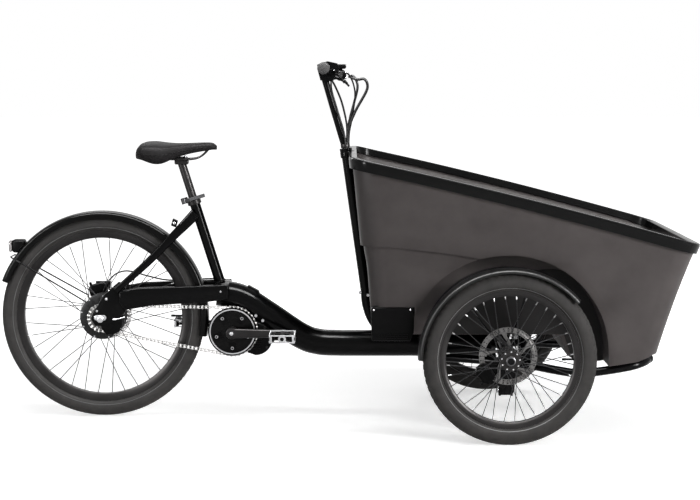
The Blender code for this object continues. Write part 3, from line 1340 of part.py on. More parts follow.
def hoses():
    """Brake hoses from the levers down the front of the column."""
    half = [(0.7430, 0.1550, 1.1095), (0.7475, 0.1370, 1.1093), (0.790, 0.106, 1.104),
            (0.812, 0.056, 1.048),
            (0.808, 0.014, 0.960), (0.8066, 0.0032, 0.858)]
    routes = [[(a, side * s, h) for a, s, h in half] for side in (-1, 1)]
    shapes = [tube(smooth_path([at(*p) for p in route], 3), 0.0025, 5, Y_AXIS) for route in routes]
    part("brake_hose_right", shapes[0], "rubber", "handlebar")
    part("brake_hose_left", shapes[1], "rubber", "handlebar")


def clear_scene():
    for item in list(bpy.data.objects):
        bpy.data.objects.remove(item)


def main():
    clear_scene()
    make_materials()
    main_frame()
    rear_frame()
    front_hoop()
    box_tub()
    box_rim()
    service_covers()
    battery()
    motor()
    rear_mudguard()
    mudguard_stay()
    rear_lamp()
    rear_axle()
    rear_wheel()
    rear_cog()
    crank()
    chain()
    centre = REAR_AXLE + Y_AXIS * REAR_ROTOR_Y
    caliper("rear_caliper", centre, 1, 106, REAR_ROTOR_R, None)
    seat_collar()
    seat_post()
    saddle()
    mast()
    handlebar()
    display()
    hoses()
    link_beam("lower_beam", LINK_LOW_Z)
    link_beam("upper_beam", LINK_HIGH_Z)
    for side in (-1, 1):
        pedal(side)
        upright(side)
        knuckle(side)
        front_wheel(side)
        front_brake(side)
        front_mudguard(side)


main()
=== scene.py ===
"""The finished look of a leaning front-load cargo bike.

The frame below is the jointed solid model. Each operator dresses one group of its pieces: it builds
the visible surface with its real sections, repeats and finishes, and names the body it moves with.
+X is forward, +Y is the rider's left and +Z is up, in metres. "Ahead" is the distance in front of the
rear axle.
"""

import math

import bmesh
import bpy
from bpy.props import FloatProperty, FloatVectorProperty, IntProperty, PointerProperty
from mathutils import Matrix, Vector


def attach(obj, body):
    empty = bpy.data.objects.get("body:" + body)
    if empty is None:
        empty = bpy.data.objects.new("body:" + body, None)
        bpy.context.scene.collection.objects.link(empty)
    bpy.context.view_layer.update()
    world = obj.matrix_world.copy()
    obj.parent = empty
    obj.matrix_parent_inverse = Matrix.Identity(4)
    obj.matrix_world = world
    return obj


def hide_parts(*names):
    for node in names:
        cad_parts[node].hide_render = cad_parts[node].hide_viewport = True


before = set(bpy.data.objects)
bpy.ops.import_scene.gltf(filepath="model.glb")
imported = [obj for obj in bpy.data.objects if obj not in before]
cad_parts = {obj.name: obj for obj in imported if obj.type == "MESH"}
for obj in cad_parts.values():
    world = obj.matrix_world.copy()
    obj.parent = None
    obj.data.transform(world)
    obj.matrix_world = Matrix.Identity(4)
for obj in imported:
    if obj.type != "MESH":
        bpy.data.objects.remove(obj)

bl_info = {"name": "Leaning Cargo Bike", "version": (1, 0, 0), "blender": (4, 5, 0),
    "location": "3D View > Sidebar > Cargo Bike",
    "description": "Builds and finishes the visible pieces of a leaning front-load cargo bike",
    "category": "Add Mesh" }

# Layout, shared with the solid model

REAR_X = -0.761
WHEELBASE = 1.273
HALF_TRACK = 0.411
REAR_R = 0.3265
FRONT_R = 0.26
X_AXIS = Vector((1, 0, 0))
Y_AXIS = Vector((0, 1, 0))
Z_AXIS = Vector((0, 0, 1))
SIDES = ((-1, "right"), (1, "left"))
WAYS = (-1, 1)


def at(ahead, side, height):
    """A point given by its distance ahead of the rear axle."""
    return Vector((REAR_X + ahead, side, height))


REAR_AXLE = at(0, 0, REAR_R)
FRONT_AXLE = at(WHEELBASE, 0, FRONT_R)
BB = at(0.4195, 0, 0.283)
PITCH = 0.0127
RING_TEETH = 38
COG_TEETH = 20
RING_R = PITCH / 2 / math.sin(math.pi / RING_TEETH)
COG_R = PITCH / 2 / math.sin(math.pi / COG_TEETH)
CHAIN_Y = 0.047
CRANK = 0.165
CRANK_Y = 0.088
BEAM_R = 0.042
BEAM_Z = 0.237
BEAM_ROUTE = ((0.372, 0.402), (0.446, 0.386), (0.532, 0.332), (0.636, 0.262), (0.697, 0.241), (0.77, BEAM_Z))
COLUMN_R = 0.0165
STEER_TOP = at(0.7825, 0, 0.868)
STEER_LOW = at(0.8465, 0, 0.413)
STEER_UP = (STEER_TOP - STEER_LOW).normalized()
COLUMN_FOOT = [STEER_LOW, at(0.852, 0, 0.362), at(0.871, 0, 0.312), at(0.912, 0, 0.262)]
SEAT_LOW = at(0.384, 0, 0.415)
SEAT_TOP = at(0.2934, 0, 0.707)
SEAT_UP = (SEAT_TOP - SEAT_LOW).normalized()
LINK_HEIGHTS = (("low", 0.14), ("high", 0.256))
GRIP_AHEAD = 0.7165
BAR_Z = 1.1215
BAR_R = 0.0111
WELL_Y = 0.236
ARCH_R = 0.306
FLANGE_R = {"rear": 0.278, "front": 0.209}
RIM_DEPTH = {"rear": 0.024, "front": 0.018}
REAR_DISC_R = 0.084
FRONT_DISC_R = 0.088
HOSE_R = 0.0025
DUST_TONE = (0.23, 0.205, 0.18)
CAMERA_PLACE = (0.0355, -5.033, 1.126)
CAMERA_PITCH = math.radians(83.36)
FINISHES = {}


# Sizes and colours a user may change


def real(name, description, default, **limits):
    return FloatProperty(name=name, description=description, default=default, **limits)


def colour(name, description, *default):
    return FloatVectorProperty(name=name, description=description, default=default, size=3, min=0, max=1,
        subtype="COLOR")


class BikeWheelSettings(bpy.types.PropertyGroup):
    spoke_count: IntProperty(name="Spokes", description="Spokes in each wheel, a multiple of four",
        default=36, min=12, max=48, step=4)
    spoke_width: real("Spoke width", "Thickness of one spoke", 0.0025, min=0.001, max=0.004, unit="LENGTH")
    tread_blocks: IntProperty(name="Tread blocks", description="Tread blocks round a tyre", default=88,
        min=20, max=160)
    rubber: colour("Rubber", "Colour of the tyres", 0.036, 0.034, 0.033)
    rim: colour("Rims", "Colour of the rims and hubs", 0.018, 0.017, 0.017)


class BikeBoxSettings(bpy.types.PropertyGroup):
    shell: colour("Shell", "Colour of the box", 0.06, 0.0525, 0.0515)
    wall: real("Wall", "Thickness of the box's wall", 0.005, min=0.002, max=0.012, unit="LENGTH")
    cap_height: real("Cap height", "Height of the capping round the rim", 0.03, min=0.01, max=0.05,
        unit="LENGTH")


class BikeFrameSettings(bpy.types.PropertyGroup):
    paint: colour("Paint", "Colour of the frame", 0.0028, 0.0028, 0.0031)
    gloss: real("Roughness", "Roughness of the frame's paint", 0.15, min=0.02, max=1, subtype="FACTOR")
    trim: colour("Trim", "Colour of the mudguards and caps", 0.0036, 0.0036, 0.0036)


class BikeSeatSettings(bpy.types.PropertyGroup):
    cover: colour("Cover", "Colour of the saddle's cover", 0.0115, 0.0105, 0.011)
    fill: real("Padding", "How full the saddle's padding is, from slack to tight", 0.75, min=0, max=1,
        subtype="FACTOR")
    grip: colour("Grips", "Colour of the grips", 0.04, 0.039, 0.039)


class BikeStageSettings(bpy.types.PropertyGroup):
    floor: colour("Floor", "Colour of the floor under the bike", 0.86, 0.86, 0.86)
    key: real("Key light", "Power of the large lamp above", 120.0, min=0, subtype="POWER")
    streak: real("Streaks", "Power of the strip lamps that only glossy faces mirror", 620.0, min=0,
        subtype="POWER")
    sky: real("Sky", "Strength of the even light from all round", 0.22, min=0, max=2)
    lens: real("Lens", "Focal length of the camera, in millimetres", 80.95, min=10, max=300)


# Forms. Each is (points, faces), and piece() turns a list of them into one object


def mm(*rows):
    """Rows of sizes that are written in millimetres, in metres."""
    return [tuple(v / 1000 for v in row) for row in rows]


def places(*rows):
    """Points ahead, to the side and up, written in millimetres."""
    return [at(*row) for row in mm(*rows)]


def outward(angle):
    """The direction at an angle about an axle, from forward to up."""
    return Vector((math.cos(angle), 0, math.sin(angle)))


def square_to(axis, spare=Y_AXIS):
    """Two directions square to an axis and to each other, the first of them towards X or the spare axis."""
    up = X_AXIS if abs(axis.x) < 0.9 else spare
    level = (up - axis * up.dot(axis)).normalized()
    return level, axis.cross(level)


def flipped(points):
    """The points of one side laid on the other side, in backward order."""
    return [Vector((p.x, -p.y, p.z)) for p in reversed(points)]


def catmull(a, b, c, d, t):
    return 0.5 * (2 * b + (c - a) * t + (2 * a - 5 * b + 4 * c - d) * t * t + (3 * b - a - 3 * c + d)
        * t ** 3)


def smooth_path(points, steps):
    """A smooth line through the points, with a number of steps between each two."""
    points = [Vector(p) for p in points]
    ends = [points[0] * 2 - points[1], *points, points[-1] * 2 - points[-2]]
    line = [catmull(*ends[i:i + 4], k / steps) for i in range(len(points) - 1) for k in range(steps)]
    return line + [points[-1]]


def loft(rings, closed=False, caps=True):
    n, count = len(rings[0]), len(rings)
    faces = []
    for i in range(count if closed else count - 1):
        a, b = i * n, (i + 1) % count * n
        faces += [(a + j, a + (j + 1) % n, b + (j + 1) % n, b + j) for j in range(n)]
    if caps and not closed:
        faces += [tuple(range(n)), tuple(reversed(range((count - 1) * n, count * n)))]
    return [p for ring in rings for p in ring], faces


def moved_frames(path, up):
    """A direction along and a steady upward direction at each point of a path."""
    frames = []
    for i, point in enumerate(path):
        along = (path[min(i + 1, len(path) - 1)] - path[max(i - 1, 0)]).normalized()
        frames.append((point, along, (up - along * up.dot(along)).normalized()))
    return frames


def sweep(path, section, up, scale=None):
    """A section, as (sideways, upward) points, carried along a path."""
    path = [Vector(p) for p in path]
    rings = []
    for i, (point, along, level) in enumerate(moved_frames(path, up)):
        side = along.cross(level)
        ka, kb = scale(i / (len(path) - 1)) if scale else (1, 1)
        rings.append([point + side * a * ka + level * b * kb for a, b in section])
    return loft(rings)


def circle(radius, sides):
    turns = [2 * math.pi * i / sides for i in range(sides)]
    return [(radius * math.cos(a), radius * math.sin(a)) for a in turns]


def rounded(width, height, radius, steps=4):
    """A rectangle with round corners, centred on the origin."""
    outline = []
    for quarter, (sx, sy) in enumerate(((1, 1), (-1, 1), (-1, -1), (1, -1))):
        cx, cy = sx * (width / 2 - radius), sy * (height / 2 - radius)
        for i in range(steps + 1):
            a = math.pi / 2 * (quarter + i / steps)
            outline.append((cx + radius * math.cos(a), cy + radius * math.sin(a)))
    return outline


def tube(path, radius, sides=16, up=Y_AXIS):
    return sweep(path, circle(radius, sides), up)


def rod(start, end, radius, sides=20, soft=0.0):
    """A round bar with softened ends."""
    along = (end - start).normalized()
    level, side = square_to(along)
    soft = min(soft, radius * 0.6)
    rings = [(start, radius), (end, radius)]
    if soft > 0:
        steps = [(0, radius - soft), (soft * 0.3, radius - soft * 0.3), (soft, radius)]
        rings = [(start + along * d, r) for d, r in steps]
        rings += [(end - along * d, r) for d, r in reversed(steps)]
    return loft([[place + side * a + level * b for a, b in circle(r, sides)] for place, r in rings])


def lathe(profile, centre, axis=Y_AXIS, steps=72):
    """A closed profile of (along, radius) points turned about an axis."""
    level, side = square_to(axis, Z_AXIS)
    turns = [2 * math.pi * i / steps for i in range(steps)]
    ways = [level * math.cos(a) + side * math.sin(a) for a in turns]
    points = [centre + axis * y + out * r for out in ways for y, r in profile]
    n, faces = len(profile), []
    for i in range(steps):
        b = (i + 1) % steps * n
        faces += [(i * n + j, i * n + (j + 1) % n, b + (j + 1) % n, b + j) for j in range(n)]
    return points, faces


def prism(outline, y0, y1):
    """An outline of (ahead, height) points between two distances to the side."""
    return loft([[at(a, y, z) for a, z in outline] for y in (y0, y1)])


def slab(low, high):
    (x0, y0, z0), (x1, y1, z1) = low, high
    return loft([[Vector((x, y, z)) for x, y in ((x0, y0), (x1, y0), (x1, y1), (x0, y1))] for z in (z0, z1)])


def round_slab(low, high, radius, steps=4):
    """A block with rounded upright corners and a softened top and bottom."""
    low, high = Vector(low), Vector(high)
    mid, size = (low + high) / 2, high - low
    edge = min(radius * 0.5, size.z * 0.3)
    rings = []
    for z, shrink in ((low.z, edge), (low.z + edge * 0.3, edge * 0.3), (low.z + edge, 0), (high.z - edge, 0),
            (high.z - edge * 0.3, edge * 0.3), (high.z, edge)):
        rings.append([Vector((mid.x + a, mid.y + b, z)) for a, b in rounded(size.x - 2 * shrink,
            size.y - 2 * shrink, max(radius - shrink, 0.0005), steps)])
    return loft(rings)


def bead(centre, radius, squash, rings, sides):
    """A small rounded lump."""
    layers = []
    for a in (math.pi * i / rings for i in range(rings + 1)):
        layers.append([centre + Vector((squash[0] * x * math.sin(a), squash[1] * y * math.sin(a),
            squash[2] * radius * math.cos(a))) for x, y in circle(radius, sides)])
    return loft(layers)


def bolt(place, out, radius, height=0.003, socket=True):
    """A cap screw's head, with a socket, standing on a surface."""
    out = out.normalized()
    level, side = square_to(out)
    levels = [(1, -0.0006), (1, height * 0.75), (0.85, height)]
    if socket:
        levels += [(0.5, height), (0.5, height * 0.35)]
    return loft([[place + out * h + side * a + level * b for a, b in circle(radius * k, 12)]
        for k, h in levels])


def linked(name, data):
    made = bpy.data.objects.new(name, data)
    bpy.context.scene.collection.objects.link(made)
    return made


def raw_object(name, forms):
    points, faces = [], []
    for form_points, form_faces in forms:
        start = len(points)
        points += form_points
        faces += [tuple(start + i for i in face) for face in form_faces]
    mesh = bpy.data.meshes.new(name)
    mesh.from_pydata([tuple(p) for p in points], [], faces)
    return linked(name, mesh)


def shaded(made, angle):
    made.data.shade_smooth()
    made.data.set_sharp_from_angle(angle=math.radians(angle))
    return made


def cleaned(made, bevel=0.0, segments=2, angle=35.0, merge=0.00001):
    """Merges doubles, softens the hard edges, turns the faces outward and shades by angle."""
    soft = bmesh.new()
    soft.from_mesh(made.data)
    bmesh.ops.remove_doubles(soft, verts=soft.verts, dist=merge)
    bmesh.ops.dissolve_degenerate(soft, edges=soft.edges, dist=merge)
    bmesh.ops.recalc_face_normals(soft, faces=soft.faces)
    if bevel > 0:
        hard = [e for e in soft.edges if e.is_manifold and e.calc_face_angle(0) > math.radians(angle)]
        bmesh.ops.bevel(soft, geom=hard, offset=bevel, segments=segments, profile=0.5, affect="EDGES",
            clamp_overlap=True)
    soft.to_mesh(made.data)
    soft.free()
    return shaded(made, angle)


def dressed(made, finish_name, body, replaces=()):
    """Gives an object its finish and the body it moves with."""
    made.data.materials.clear()
    made.data.materials.append(FINISHES[finish_name])
    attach(made, body)
    if replaces:
        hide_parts(*replaces)
    return made


def piece(name, forms, finish_name, body, replaces=(), bevel=0.0, angle=35.0, segments=2):
    return dressed(cleaned(raw_object(name, forms), bevel, segments, angle), finish_name, body, replaces)


def painted(name, forms, replaces=(), body="frame", **how):
    return piece(name, forms, "gloss_frame_paint", body, replaces, **how)


def bolted(name, forms, body="frame"):
    return piece(name, forms, "bolt_steel", body, angle=40)


def hose(name, forms, body, replaces=()):
    return piece(name, forms, "hose_sheath", body, replaces, angle=60)


def baked(made):
    """The object's evaluated mesh in place of its modifiers."""
    mesh = bpy.data.meshes.new_from_object(made.evaluated_get(bpy.context.evaluated_depsgraph_get()))
    name = made.name
    bpy.data.objects.remove(made)
    return linked(name, mesh)


def cut(made, cutters):
    """The object with the cutters taken out of it."""
    for tool in cutters:
        step = made.modifiers.new("cut", "BOOLEAN")
        step.object, step.operation, step.solver = tool, "DIFFERENCE", "EXACT"
    fresh = baked(made)
    for tool in cutters:
        bpy.data.objects.remove(tool)
    return fresh


def cutter(form):
    return cleaned(raw_object("cutter", [form]))


# Node trees. A link is (node, output, node, input) or (socket, node, input)

SHAPE = ("Geometry", "Geometry")
FINISH = ("Finish", "Material")
PLACE = ("Vector", "Vector", (0, 0, 0))
ROUGHNESS = (("Low roughness", "Float", 0.3), ("High roughness", "Float", 0.4))


def nodes(tree, *kinds):
    return [tree.nodes.new(kind) for kind in kinds]


def wire(tree, *links):
    for *source, target, key in links:
        out = source[0].outputs[source[1]] if len(source) == 2 else source[0]
        tree.links.new(out, target.inputs[key])


def new_tree(name, kind, inputs, outputs):
    """An empty node group with its sockets, each given as (name, kind, value), and its two ends."""
    tree = bpy.data.node_groups.new(name, kind)
    for way, sockets in (("INPUT", inputs), ("OUTPUT", outputs)):
        for key, sort, *value in sockets:
            made = tree.interface.new_socket(name=key, in_out=way, socket_type="NodeSocket" + sort)
            if value:
                made.default_value = value[0]
    return tree, *nodes(tree, "NodeGroupInput", "NodeGroupOutput")


def tree_named(name):
    """The node group of that name, built the first time that it is asked for."""
    return bpy.data.node_groups.get(name) or TREES[name](name)


def tree_input(tree, name):
    return next(s.identifier for s in tree.interface.items_tree if s.name == name and s.in_out == "INPUT")


def given_value(tree, target, value):
    """Sets an input to a plain value, or leads another node's output to it."""
    if isinstance(value, bpy.types.NodeSocket):
        tree.links.new(value, target)
    else:
        target.default_value = value


def math_node(tree, operation, a, b):
    node = tree.nodes.new("ShaderNodeMath")
    node.operation = operation
    for i, value in enumerate((a, b)):
        given_value(tree, node.inputs[i], value)
    return node.outputs[0]


def finish_tree(tree, given, out, shapes):
    """Realises the instances, gives them the finish and leads them out."""
    real_shapes, paint = nodes(tree, "GeometryNodeRealizeInstances", "GeometryNodeSetMaterial")
    wire(tree, (shapes, real_shapes, "Geometry"), (real_shapes, 0, paint, "Geometry"),
        (given, "Finish", paint, "Material"), (paint, 0, out, "Geometry"))
    return tree


def round_tree(name):
    """Copies the shape at even turns about an axis along Y through a centre."""
    tree, given, out = new_tree(name, "GeometryNodeTree", (SHAPE, ("Count", "Int"), ("Centre", "Vector"),
        ("First turn", "Float"), FINISH), (SHAPE,))
    line, place, index, turn, shift = nodes(tree, "GeometryNodeMeshLine", "GeometryNodeInstanceOnPoints",
        "GeometryNodeInputIndex", "ShaderNodeCombineXYZ", "GeometryNodeTransform")
    line.inputs["Offset"].default_value = (0, 0, 0)
    step = math_node(tree, "DIVIDE", 2 * math.pi, given.outputs["Count"])
    angle = math_node(tree, "MULTIPLY", index.outputs[0], step)
    whole = math_node(tree, "ADD", angle, given.outputs["First turn"])
    wire(tree, (given, "Count", line, "Count"), (line, 0, place, "Points"), (given, 0, place, "Instance"),
        (whole, turn, "Y"), (turn, 0, place, "Rotation"), (place, 0, shift, "Geometry"),
        (given, "Centre", shift, "Translation"))
    return finish_tree(tree, given, out, shift.outputs[0])


def row_tree(name):
    """Copies the shape at even steps along a straight line."""
    tree, given, out = new_tree(name, "GeometryNodeTree", (SHAPE, ("Count", "Int"), ("Start", "Vector"),
        ("Step", "Vector"), FINISH), (SHAPE,))
    line, place = nodes(tree, "GeometryNodeMeshLine", "GeometryNodeInstanceOnPoints")
    wire(tree, (given, "Count", line, "Count"), (given, "Start", line, "Start Location"),
        (given, "Step", line, "Offset"), (line, 0, place, "Points"), (given, 0, place, "Instance"))
    return finish_tree(tree, given, out, place.outputs[0])


def path_tree(name):
    """Lays copies of two objects by turns along a closed or open path, a set number in all."""
    tree, given, out = new_tree(name, "GeometryNodeTree", (SHAPE, ("Count", "Int"), ("First shape", "Object"),
        ("Second shape", "Object"), FINISH), (SHAPE,))
    points, index, join = nodes(tree, "GeometryNodeCurveToPoints", "GeometryNodeInputIndex",
        "GeometryNodeJoinGeometry")
    points.mode = "COUNT"
    odd = math_node(tree, "MODULO", index.outputs[0], 2)
    even = math_node(tree, "SUBTRACT", 1, odd)
    wire(tree, (given, 0, points, "Curve"), (given, "Count", points, "Count"))
    for source, chosen in (("First shape", even), ("Second shape", odd)):
        info, place = nodes(tree, "GeometryNodeObjectInfo", "GeometryNodeInstanceOnPoints")
        wire(tree, (given, source, info, "Object"), (points, "Points", place, "Points"),
            (points, "Rotation", place, "Rotation"), (info, "Geometry", place, "Instance"),
            (chosen, place, "Selection"), (place, 0, join, "Geometry"))
    return finish_tree(tree, given, out, join.outputs[0])


def shade_tree(name):
    """Merges a solid's loose triangles and shades it smooth, with its hard edges kept."""
    tree, given, out = new_tree(name, "GeometryNodeTree", (SHAPE, ("Edge angle", "Float")), (SHAPE,))
    merge, smooth, hard, angle = nodes(tree, "GeometryNodeMergeByDistance", "GeometryNodeSetShadeSmooth",
        "GeometryNodeSetShadeSmooth", "GeometryNodeInputMeshEdgeAngle")
    merge.inputs["Distance"].default_value = 0.00002
    hard.domain = "EDGE"
    hard.inputs["Shade Smooth"].default_value = False
    over = math_node(tree, "GREATER_THAN", angle.outputs["Unsigned Angle"], given.outputs["Edge angle"])
    wire(tree, (given, 0, merge, "Geometry"), (merge, 0, smooth, "Geometry"), (smooth, 0, hard, "Geometry"),
        (over, hard, "Selection"), (hard, 0, out, "Geometry"))
    return tree


def repeated(name, made, tree_name, values, finish_name, body, replaces=(), angle=35.0):
    """Runs a repeat tree on an object and keeps its result as a plain mesh."""
    tree = tree_named(tree_name)
    step = made.modifiers.new("Repeat", "NODES")
    step.node_group = tree
    for key, value in {**values, "Finish": FINISHES[finish_name]}.items():
        step[tree_input(tree, key)] = value
    made.name = name
    return dressed(shaded(baked(made), angle), finish_name, body, replaces)


def round_about(name, forms, count, centre, finish_name, body, replaces=(), first=0.0):
    values = {"Count": count, "Centre": tuple(centre), "First turn": first}
    return repeated(name, cleaned(raw_object(name, forms)), "Repeat round an axle", values, finish_name, body,
        replaces)


def in_row(name, forms, count, start, step, finish_name, body):
    values = {"Count": count, "Start": tuple(start), "Step": tuple(step)}
    return repeated(name, cleaned(raw_object(name, forms)), "Repeat in a row", values, finish_name, body)


def along_path(name, path, shapes, count, finish_name, replaces=()):
    """Lays two lists of forms by turns along a closed path. Their X runs sideways, Y up and Z along it."""
    curve = bpy.data.curves.new(name, "CURVE")
    curve.dimensions = "3D"
    spline = curve.splines.new("POLY")
    spline.points.add(len(path) - 1)
    for point, place in zip(spline.points, path):
        point.co = (*place, 1)
    spline.use_cyclic_u = True
    line = linked(name, curve)
    first, second = (cleaned(raw_object(name + "_shape" + str(i), forms)) for i, forms in enumerate(shapes))
    values = {"Count": count, "First shape": first, "Second shape": second}
    made = repeated(name, line, "Repeat along a path", values, finish_name, "frame", replaces)
    for shape in (first, second):
        bpy.data.objects.remove(shape)
    return made


def keep_solid(node, finish_name, bevel, angle=math.radians(32)):
    """Finishes a solid of the model as it is, with soft shading and softened edges."""
    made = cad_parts[node]
    made.data.materials.clear()
    made.data.materials.append(FINISHES[finish_name])
    tree = tree_named("Soft shading")
    step = made.modifiers.new("Soft shading", "NODES")
    step.node_group = tree
    step[tree_input(tree, "Edge angle")] = angle
    edge = made.modifiers.new("Soft edges", "BEVEL")
    edge.width, edge.segments, edge.limit_method, edge.angle_limit = bevel, 2, "ANGLE", angle


# Shader groups that several finishes share


def noise(tree, vector, scale, detail=3.0, rough=0.55):
    node = tree.nodes.new("ShaderNodeTexNoise")
    for key, value in (("Vector", vector), ("Scale", scale), ("Detail", detail), ("Roughness", rough)):
        given_value(tree, node.inputs[key], value)
    return node.outputs["Fac"]


def ranged(tree, value, *limits):
    """A value mapped from one range, of two limits, to another, which is 0 to 1 where it isn't given."""
    node = tree.nodes.new("ShaderNodeMapRange")
    for key, given in zip(("Value", "From Min", "From Max", "To Min", "To Max"), (value, *limits)):
        given_value(tree, node.inputs[key], given)
    return node.outputs["Result"]


def grain_group(name):
    """Fine moulded or painted grain: a height, a roughness and a soft mottling of the tone."""
    tree, given, out = new_tree(name, "ShaderNodeTree", (PLACE, ("Scale", "Float", 900.0), *ROUGHNESS),
        (("Height", "Float"), ("Roughness", "Float"), ("Tone", "Float")))
    place, scale, low, high = given.outputs[:4]
    fine, broad = noise(tree, place, scale, 2.0), noise(tree, place, 9.0, 4.0)
    mixed = math_node(tree, "ADD", math_node(tree, "MULTIPLY", fine, 0.35), math_node(tree, "MULTIPLY", broad,
        0.65))
    wire(tree, (fine, out, "Height"), (ranged(tree, mixed, 0.32, 0.68, low, high), out, "Roughness"),
        (ranged(tree, broad, 0.3, 0.7), out, "Tone"))
    return tree


def dust_group(name):
    """A mask of road dust, thick near the ground and thin by a stated height, broken up by noise."""
    tree, given, out = new_tree(name, "ShaderNodeTree", (PLACE, ("Top", "Float", 0.4),
        ("Amount", "Float", 0.2)), (("Mask", "Float"),))
    place, top, amount = given.outputs[:3]
    split = tree.nodes.new("ShaderNodeSeparateXYZ")
    patches = ranged(tree, noise(tree, place, 28.0, 6.0, 0.65), 0.35, 0.75)
    low = math_node(tree, "MULTIPLY", ranged(tree, split.outputs["Z"], top, 0.02), patches)
    wire(tree, (place, split, 0), (math_node(tree, "MULTIPLY", low, amount), out, "Mask"))
    return tree


def marks_group(name):
    """Round tool marks about an axle along Y: a height and a streaky roughness."""
    tree, given, out = new_tree(name, "ShaderNodeTree", (PLACE, ("Density", "Float", 900.0), *ROUGHNESS),
        (("Height", "Float"), ("Roughness", "Float")))
    flat, size, place = nodes(tree, "ShaderNodeVectorMath", "ShaderNodeVectorMath", "ShaderNodeCombineXYZ")
    flat.operation, size.operation = "MULTIPLY", "LENGTH"
    flat.inputs[1].default_value = (1, 0, 1)
    wire(tree, (given, 0, flat, 0), (flat, 0, size, 0), (size, "Value", place, "X"))
    density, low, high = given.outputs[1:4]
    rings = noise(tree, place.outputs[0], density, 2.0)
    wire(tree, (rings, out, "Height"), (ranged(tree, rings, 0.35, 0.65, low, high), out, "Roughness"))
    return tree


def scratch_group(name):
    """A thin scatter of fine scratches, as a mask."""
    tree, given, out = new_tree(name, "ShaderNodeTree", (PLACE, ("Amount", "Float", 0.3)),
        (("Mask", "Float"),))
    masks = []
    for turn, stretch in ((0.5, (14, 160, 160)), (1.2, (170, 170, 16))):
        place = tree.nodes.new("ShaderNodeMapping")
        place.inputs["Rotation"].default_value = (0.2, turn, 0.4)
        place.inputs["Scale"].default_value = stretch
        wire(tree, (given, 0, place, "Vector"))
        masks.append(ranged(tree, noise(tree, place.outputs[0], 6.0, 1.0), 0.7, 0.76))
    both = math_node(tree, "MAXIMUM", *masks)
    wire(tree, (math_node(tree, "MULTIPLY", both, given.outputs["Amount"]), out, "Mask"))
    return tree


def creases_group(name):
    """Soft cover creases: cells of fine hide or textured rubber, with broad undulation."""
    tree, given, out = new_tree(name, "ShaderNodeTree", (PLACE, ("Scale", "Float", 700.0)),
        (("Height", "Float"), ("Tone", "Float")))
    cells = tree.nodes.new("ShaderNodeTexVoronoi")
    cells.feature = "DISTANCE_TO_EDGE"
    wire(tree, (given, 0, cells, "Vector"), (given, "Scale", cells, "Scale"))
    edge = math_node(tree, "MULTIPLY", ranged(tree, cells.outputs["Distance"], 0.0, 0.12), 0.5)
    broad = noise(tree, given.outputs[0], 30.0)
    wire(tree, (math_node(tree, "ADD", edge, broad), out, "Height"), (ranged(tree, broad, 0.3, 0.7), out,
        "Tone"))
    return tree


TREES = {"Repeat round an axle": round_tree, "Repeat in a row": row_tree, "Repeat along a path": path_tree,
    "Soft shading": shade_tree, "Fine grain": grain_group, "Road dust": dust_group,
    "Turned marks": marks_group, "Fine scratches": scratch_group, "Cover texture": creases_group}


# Finishes


def placed(tree, group, place, **values):
    """A shared group in a material, led by object coordinates."""
    node = tree.nodes.new("ShaderNodeGroup")
    node.node_tree = tree_named(group)
    for key, value in values.items():
        node.inputs[key.replace("_", " ")].default_value = value
    wire(tree, (place, node, "Vector"))
    return node


def mixed_colour(tree, fac, a, b):
    """Two colours mixed by a factor. Each may be a plain colour or another node's output."""
    node = tree.nodes.new("ShaderNodeMix")
    node.data_type = "RGBA"
    wire(tree, (fac, node, "Factor"))
    for key, value in (("A", a), ("B", b)):
        target = next(s for s in node.inputs if s.name == key and s.type == "RGBA")
        given_value(tree, target, (*value, 1.0) if isinstance(value, tuple) else value)
    return next(s for s in node.outputs if s.type == "RGBA")


def toned(tone, factor):
    return tuple(min(1.0, c * factor) for c in tone)


def finish(name, tone, roughness, metallic=0.0, spread=0.25, grain=900.0, depth=0.00004, dust=0.0,
        dust_top=0.45, scratches=0.0, coat=0.0, centre=None, hide=None, specular=0.5):
    """One finish: a mottled base colour with dust and scratches, a varied roughness and a fine relief."""
    made = FINISHES[name] = bpy.data.materials.new(name)
    made.use_nodes = True
    tree, tone = made.node_tree, tuple(tone)
    shader = tree.nodes["Principled BSDF"]
    for key, value in (("Metallic", metallic), ("Coat Weight", coat), ("Coat Roughness", 0.08),
            ("Specular IOR Level", specular)):
        shader.inputs[key].default_value = value
    place = tree.nodes.new("ShaderNodeTexCoord").outputs["Object"]
    low, high = roughness * (1 - spread), min(1.0, roughness * (1 + spread))
    grained = placed(tree, "Fine grain", place, Scale=grain, Low_roughness=low, High_roughness=high)
    base = mixed_colour(tree, grained.outputs["Tone"], toned(tone, 0.86), toned(tone, 1.14))
    rough, height = grained.outputs["Roughness"], grained.outputs["Height"]
    if centre is not None:
        centred = tree.nodes.new("ShaderNodeMapping")
        centred.inputs["Location"].default_value = tuple(-c for c in centre)
        wire(tree, (place, centred, "Vector"))
        turned = placed(tree, "Turned marks", centred.outputs[0], Low_roughness=low, High_roughness=high)
        rough, height = turned.outputs["Roughness"], turned.outputs["Height"]
    if hide is not None:
        cover = placed(tree, "Cover texture", place, Scale=hide)
        height = cover.outputs["Height"]
        base = mixed_colour(tree, cover.outputs["Tone"], base, toned(tone, 1.3))
    if scratches > 0:
        worn = placed(tree, "Fine scratches", place, Amount=scratches)
        base = mixed_colour(tree, worn.outputs["Mask"], base, toned(tone, 2.2))
    if dust > 0:
        dirt = placed(tree, "Road dust", place, Top=dust_top, Amount=dust).outputs["Mask"]
        base = mixed_colour(tree, dirt, base, DUST_TONE)
        rough = math_node(tree, "MAXIMUM", rough, dirt)
    bump = tree.nodes.new("ShaderNodeBump")
    bump.inputs["Strength"].default_value = 1.0
    bump.inputs["Distance"].default_value = depth
    wire(tree, (height, bump, "Height"), (base, shader, "Base Color"), (rough, shader, "Roughness"),
        (bump, "Normal", shader, "Normal"))


